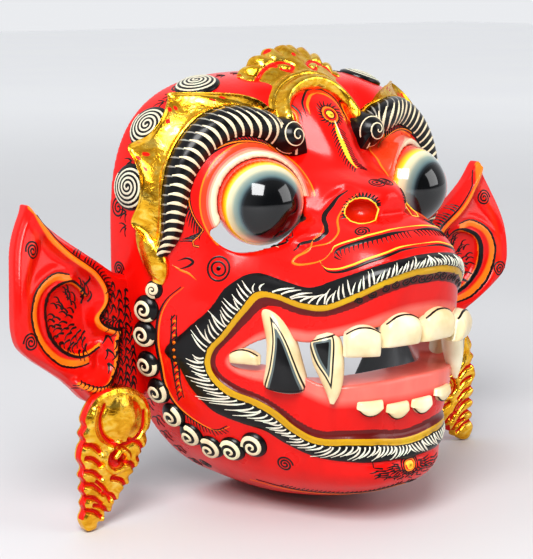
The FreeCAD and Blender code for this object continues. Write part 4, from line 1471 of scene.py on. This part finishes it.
def paint_cheek(ink, orange, shell):
    """The long crescent and the lattice on the cheek."""
    crescent = smooth_curve(((74.5, -27.4, 106.9), (78.7, -21.8, 100.7), (80.5, -17.9, 92.5),
                             (80.2, -15.6, 80.7), (78.2, -15.7, 69.8),
                             (76, -15.4, 60.6), (72.9, -17.2, 53), (69.7, -21.1, 47.7),
                             (65.1, -27.9, 42.7), (61.4, -34.3, 40.8),
                             (59.4, -40.7, 43.7)), 8)
    for strokes, sunk, width in ((ink, 0.2, 1.5), (orange, 0.3, 0.9)):
        places, normals = shell.lay(crescent if strokes is ink else crescent + (-1.1, -0.9, 0.0))
        strokes.add(places, normals, tapered(len(places), width, 0.3, 0.3), rise=sunk)
    comb(ink, shell, crescent[52:78], 3.0, 1.5, 0.7, lean=0.3)
    for i in range(11):
        z = 91 - 3.3 * i
        dot(orange, shell, shell.lay([(75.8 - 0.012 * (z - 76) ** 2 / 4, -24.0, z)])[0][0], 0.95)
    for x in (-2.4, 2.4):
        rail = [(76.0 - 0.004 * (z - 76) ** 2 + x * 0.5, -23.6 - x * 0.9, z)
                for z in np.linspace(94, 54, 16)]
        ink.lay(shell, rail, tapered(16, 0.9, 0.5, 0.5))
    for i in range(13):
        z = 93 - 3.3 * i
        ink.lay(shell, [(76.0 + x * 0.5, -23.6 - x * 0.9, z + 0.5 * x) for x in (-2.2, -0.8, 0.8, 2.2)],
                0.55)


def paint_fur(ink, shell):
    """Fur on the side of the head, behind the curls and round the crown."""
    for degrees, y in [(-7 - 5.2 * k, 2.5 - 1.3 * (k % 3)) for k in range(12)]:
        spot = flank(shell, ((degrees, y),))[0]
        ray_hairs(ink, shell, spot, 150, 250, 0.3, 5.2, 3, 1.1, bend=0.7)
        ray_hairs(ink, shell, spot + (0, -3.5, 2.2), 150, 240, 0.2, 3.8, 2, 0.9, bend=0.7)
    for degrees in (9, 13, 27, 31, 46, 49, 64, 68, 74):
        spot = flank(shell, ((degrees, -3.0),))[0]
        ray_hairs(ink, shell, spot, 130, 230, 0.3, 4.6, 3, 0.9, bend=0.6)


def paint_face(shell):
    """All painted lines of the face, one mesh for each colour."""
    ink, pale, orange, yellow, red = Strokes(1.45), Strokes(), Strokes(1.35), Strokes(1.35), Strokes()
    band_hairs(pale, shell)
    paint_lids(ink, orange, shell)
    paint_nose(ink, orange, yellow, shell)
    paint_muzzle(ink, yellow, shell)
    paint_spots(ink, orange, shell)
    paint_forehead(ink, pale, orange, yellow, red, shell)
    paint_chin(ink, orange, yellow, shell)
    paint_cheek(ink, orange, shell)
    paint_fur(ink, shell)
    ink.finish("painted_black_lines", enamel("black_strokes", BLACK, 0.2), "black_painted_wood")
    pale.finish("painted_mouth_hairs", enamel("pale_strokes", linear(232, 226, 208), 0.35, 220),
                "black_painted_wood")
    orange.finish("painted_orange_lines", enamel("orange_strokes", ORANGE, 0.3), "red_painted_wood")
    yellow.finish("painted_yellow_lines", enamel("yellow_strokes", YELLOW, 0.3), "red_painted_wood")
    red.finish("painted_red_rings", enamel("red_strokes", RED, 0.3), "red_painted_wood")


def fur_on_ear_root(ink, ear):
    """Forked hairs between the ear's ridge and the head."""
    for row, (x, count) in enumerate(((99, 9), (95.4, 10), (91.8, 11), (88.2, 12), (84.6, 12))):
        for z in np.linspace(108 - 2 * row, 60, count) + 2.0 * (row % 2) + RNG.uniform(-0.7, 0.7, count):
            lean = 0.5 + 0.25 * RNG.uniform(-1, 1)
            for turn in (lean, lean + 0.85):
                s = np.linspace(0, 1, 6)
                bent = turn + 0.6 * s
                line = np.column_stack((x - 4.6 * s * np.cos(bent), z - 4.6 * s * np.sin(bent)))
                places, normals = ear.seen(line)
                if len(places) == 6:
                    ink.add(places, normals, np.linspace(1.15, 0.35, 6))


def fur_in_ear(ink, ear):
    """Fans of bent hairs in the hollow of the ear."""
    for radius, count, size in ((9.5, 9, 5.0), (13.5, 12, 5.2), (17.5, 14, 5.0), (21.0, 15, 4.4)):
        for degrees in np.linspace(-78, 78, count):
            angle = math.radians(degrees + 6 * RNG.uniform(-1, 1))
            root = np.array((105.5 + radius * math.cos(angle) * 0.95,
                             93.5 + radius * math.sin(angle) * 0.72))
            ahead = np.array((math.cos(angle), math.sin(angle)))
            side = np.array((-ahead[1], ahead[0]))
            line = [root + ahead * size * s + side * 1.6 * math.sin(2.6 * s) for s in np.linspace(0, 1, 6)]
            places, normals = ear.seen(line)
            if len(places) == 6:
                ink.add(places, normals, np.linspace(1.05, 0.35, 6))


def paint_ears(ear, ridge, outer_arc, inner_arc):
    """Black lines and fur on both ears."""
    ink = Strokes(1.3)
    for line, width in ((outer_arc, 1.9), (inner_arc, 1.9), (ridge + (-1.5, 0.9), 1.5)):
        places, normals = ear.seen(line)
        ink.add(places, normals, tapered(len(places), width, 0.4, 0.4))
    out = ridge + (-1.8, 1.2)
    roots = resample(out, 70)
    ahead = unit(np.gradient(roots, axis=0))
    for root, along in zip(roots[4:], ahead[4:]):
        away = np.array((along[1], -along[0]))
        away = away if away @ (root - (112.0, 92.0)) > 0 else -away
        reach = 3.6 + 0.9 * RNG.uniform(-1, 1)
        line = [root + away * reach * s + along * reach * 0.55 * s * s for s in np.linspace(0, 1, 5)]
        places, normals = ear.seen(line)
        if len(places) == 5:
            ink.add(places, normals, np.linspace(1.0, 0.3, 5))
    fur_on_ear_root(ink, ear)
    fur_in_ear(ink, ear)
    for x, z in ((136.2, 126.6), (142.2, 88.6)):
        s = np.linspace(0, 1, 54)
        radius = 3.7 - 3.2 * s
        angle = 2 * math.pi * 2.5 * s
        coil = np.column_stack((x + radius * np.cos(angle), z + radius * np.sin(angle) * 1.15))
        places, normals = ear.seen(coil)
        ink.add(places, normals, 0.75)
    ink.finish("painted_ear_lines", enamel("black_ear_strokes", BLACK, 0.2), "black_painted_wood")


def make_teeth():
    ivory = ivory_paint()
    ink = Strokes()
    teeth = [make_tooth("upper_central_incisor", (10.4, -99.8, 91.9), (19.6, 9.0, 15.0), 4.6, ivory),
             make_tooth("upper_lateral_incisor", (28.2, -95.8, 88.4), (16.4, 9.0, 14.0), 3.6, ivory),
             make_tooth("upper_molar", (57.4, -51.6, 77.6), (14.5, 5.5, 7.0), 3.0, ivory,
                        turn=math.radians(60)),
             make_tooth("lower_central_tooth", (7.2, -95.2, 54.0), (12.2, 5.0, 7.6), 4.2, ivory, flip=-1),
             make_tooth("lower_lateral_tooth", (21.2, -93.4, 56.8), (12.2, 5.0, 7.0), 4.0, ivory, flip=-1)]
    for surface, edge in teeth:
        ink.lay(surface, edge, 1.1, rise=0.3)

    def fang_panel(share, across, facing):
        width = 6.2 * (1 - share / 0.78)
        place = 6.4 * (across - 0.25) * (1 - 0.5 * share)
        return min(width - abs(place), (share - 0.13) * 26) if facing > -0.2 else -1.0

    def tusk_panel(share, across, facing):
        width = 9.2 * (1 - share / 0.85)
        place = 8.6 * (across + 0.02 - 0.15 * share) * (1 - 0.5 * share)
        return min(width - abs(place), (share - 0.05) * 36) if facing > -0.2 else -1.0

    fang = (((38.3, -82.0, 90.5), 3.0, 2.6, (0.8, 0.6, 0)), ((38.0, -83.0, 87.5), 6.6, 5.0),
            ((37.4, -84.2, 80.0), 7.0, 5.4),
            ((36.6, -85.6, 73.0), 5.6, 4.8), ((36.4, -86.6, 66.0), 3.5, 3.4),
            ((37.2, -86.9, 60.0), 0.9, 0.9))
    tusk = (((47.4, -67.5, 64.5), 7.2, 5.0, (0.7, 0.7, 0)), ((47.6, -67.8, 67.0), 9.8, 7.0),
            ((48.3, -67.8, 76), 8.2, 6.4),
            ((48.7, -66.0, 86.0), 6.6, 5.6), ((49.8, -62.0, 94.5), 5.0, 4.4),
            ((51.4, -57.0, 100.3), 2.4, 2.2))
    for name, stations, panel in (("upper_fang", fang, fang_panel), ("lower_tusk", tusk, tusk_panel)):
        rows, surface = make_horn(name, name, stations, panel, ivory)
        ink.lay(surface, rows[8, 2:26], 0.9, rise=0.25)
    ink.finish("painted_gum_lines", enamel("black_gum_strokes", BLACK, 0.2), "black_painted_wood")


def make_camera():
    back = Vector((-math.sin(AZIMUTH) * math.cos(ELEVATION), -math.cos(AZIMUTH) * math.cos(ELEVATION),
                   math.sin(ELEVATION)))
    camera = bpy.data.objects.new("camera", bpy.data.cameras.new("camera"))
    camera.data.lens = LENS
    camera.data.sensor_width = 36.0
    camera.data.clip_start = 0.05
    camera.location = TARGET + back * DISTANCE
    camera.rotation_euler = back.to_track_quat("Z", "Y").to_euler()
    bpy.context.scene.collection.objects.link(camera)
    bpy.context.scene.camera = camera


# soft lamps: name, place, side of the square and power
LIGHTS = (("key", (-0.95, -0.8, 1.3), 0.9, 30), ("fill", (1.3, -1.5, 0.9), 1.3, 13))
LIGHT_AIM = Vector((0, 0, 0.1))


def make_light(name, place, size, power):
    data = bpy.data.lights.new(name, "AREA")
    data.size = size
    data.energy = power
    light = bpy.data.objects.new(name, data)
    light.location = place
    light.rotation_euler = (Vector(place) - LIGHT_AIM).to_track_quat("Z", "Y").to_euler()
    bpy.context.scene.collection.objects.link(light)


# ---- the mask
def main():
    points, faces = make_shell()
    x, y, z = np.abs(points[:, 0]), points[:, 1], points[:, 2]
    lid, front = lid_reach(x, y, z)
    lid = lid + 2.5 * np.clip((47.0 - x) / 20.0, 0.0, 1.0)
    near = (front > -17) & (z > 125.5) & (x > 20) & (y > -75) & ((z > 146) | (x > 44))
    ring = ring_place(points[:, 0], points[:, 2])
    level = rounded_head(skin_relief(x, z), x, y, z, 0.0)
    nostril = nostril_reach(x, y, z) < NOSTRIL_RADIUS + 0.4
    values = {"ring": ring, "lid": np.where(near, lid, 40.0), "nostril": nostril.astype(float),
              "inside": ((level < -0.055) & (ring < 3.6) & ~nostril).astype(float)}
    add_piece("face_shell", points, faces, shell_paint(), ["face_shell"], values)
    shell = Surface(points, faces)
    brow_edge = make_brows(shell)
    make_discs(shell)
    make_curls(shell)
    make_crown(shell, brow_edge)
    make_crest()
    make_pendants()
    make_eye("eye_left", 1, 12.0, -3.5)
    make_eye("eye_right", -1, 19.5, -3.5)
    make_teeth()
    paint_face(shell)
    paint_ears(*make_ears())
    make_pins()


FLOOR_HALF = 6.0         # metres
FLOOR_LINES = 33
FLOOR_HEIGHT = -0.0006   # just clear of the chin


def make_floor():
    side = np.linspace(-FLOOR_HALF, FLOOR_HALF, FLOOR_LINES)
    points = [(x, y, FLOOR_HEIGHT) for x in side for y in side]
    faces = [face[::-1] for face in grid_faces(FLOOR_LINES, FLOOR_LINES)]
    mesh = bpy.data.meshes.new("floor")
    mesh.from_pydata(points, [], faces)
    mesh.materials.append(floor_paint())
    floor = bpy.data.objects.new("floor", mesh)
    bpy.context.scene.collection.objects.link(floor)


def make_world():
    """A pale studio: bright behind the mask, quieter in front of it."""
    world = bpy.data.worlds.new("studio")
    bpy.context.scene.world = world
    world.use_nodes = True
    tree = world.node_tree
    place = tree.nodes.new("ShaderNodeTexCoord")
    split = tree.nodes.new("ShaderNodeSeparateXYZ")
    ramp = tree.nodes.new("ShaderNodeValToRGB")
    span = tree.nodes.new("ShaderNodeMapRange")
    span.inputs["From Min"].default_value = -0.9
    span.inputs["From Max"].default_value = 0.5
    ramp.color_ramp.elements[0].color = (0.12, 0.125, 0.13, 1.0)
    ramp.color_ramp.elements[1].color = (0.70, 0.71, 0.73, 1.0)
    tree.links.new(place.outputs["Generated"], split.inputs["Vector"])
    tree.links.new(split.outputs["Y"], span.inputs["Value"])
    tree.links.new(span.outputs["Result"], ramp.inputs["Fac"])
    tree.links.new(ramp.outputs["Color"], tree.nodes["Background"].inputs["Color"])
    tree.nodes["Background"].inputs["Strength"].default_value = 1.0
    bpy.context.scene.view_settings.view_transform = "Standard"
    bpy.context.scene.view_settings.look = "Medium High Contrast"


main()
make_floor()
make_camera()
for light_values in LIGHTS:
    make_light(*light_values)
make_world()
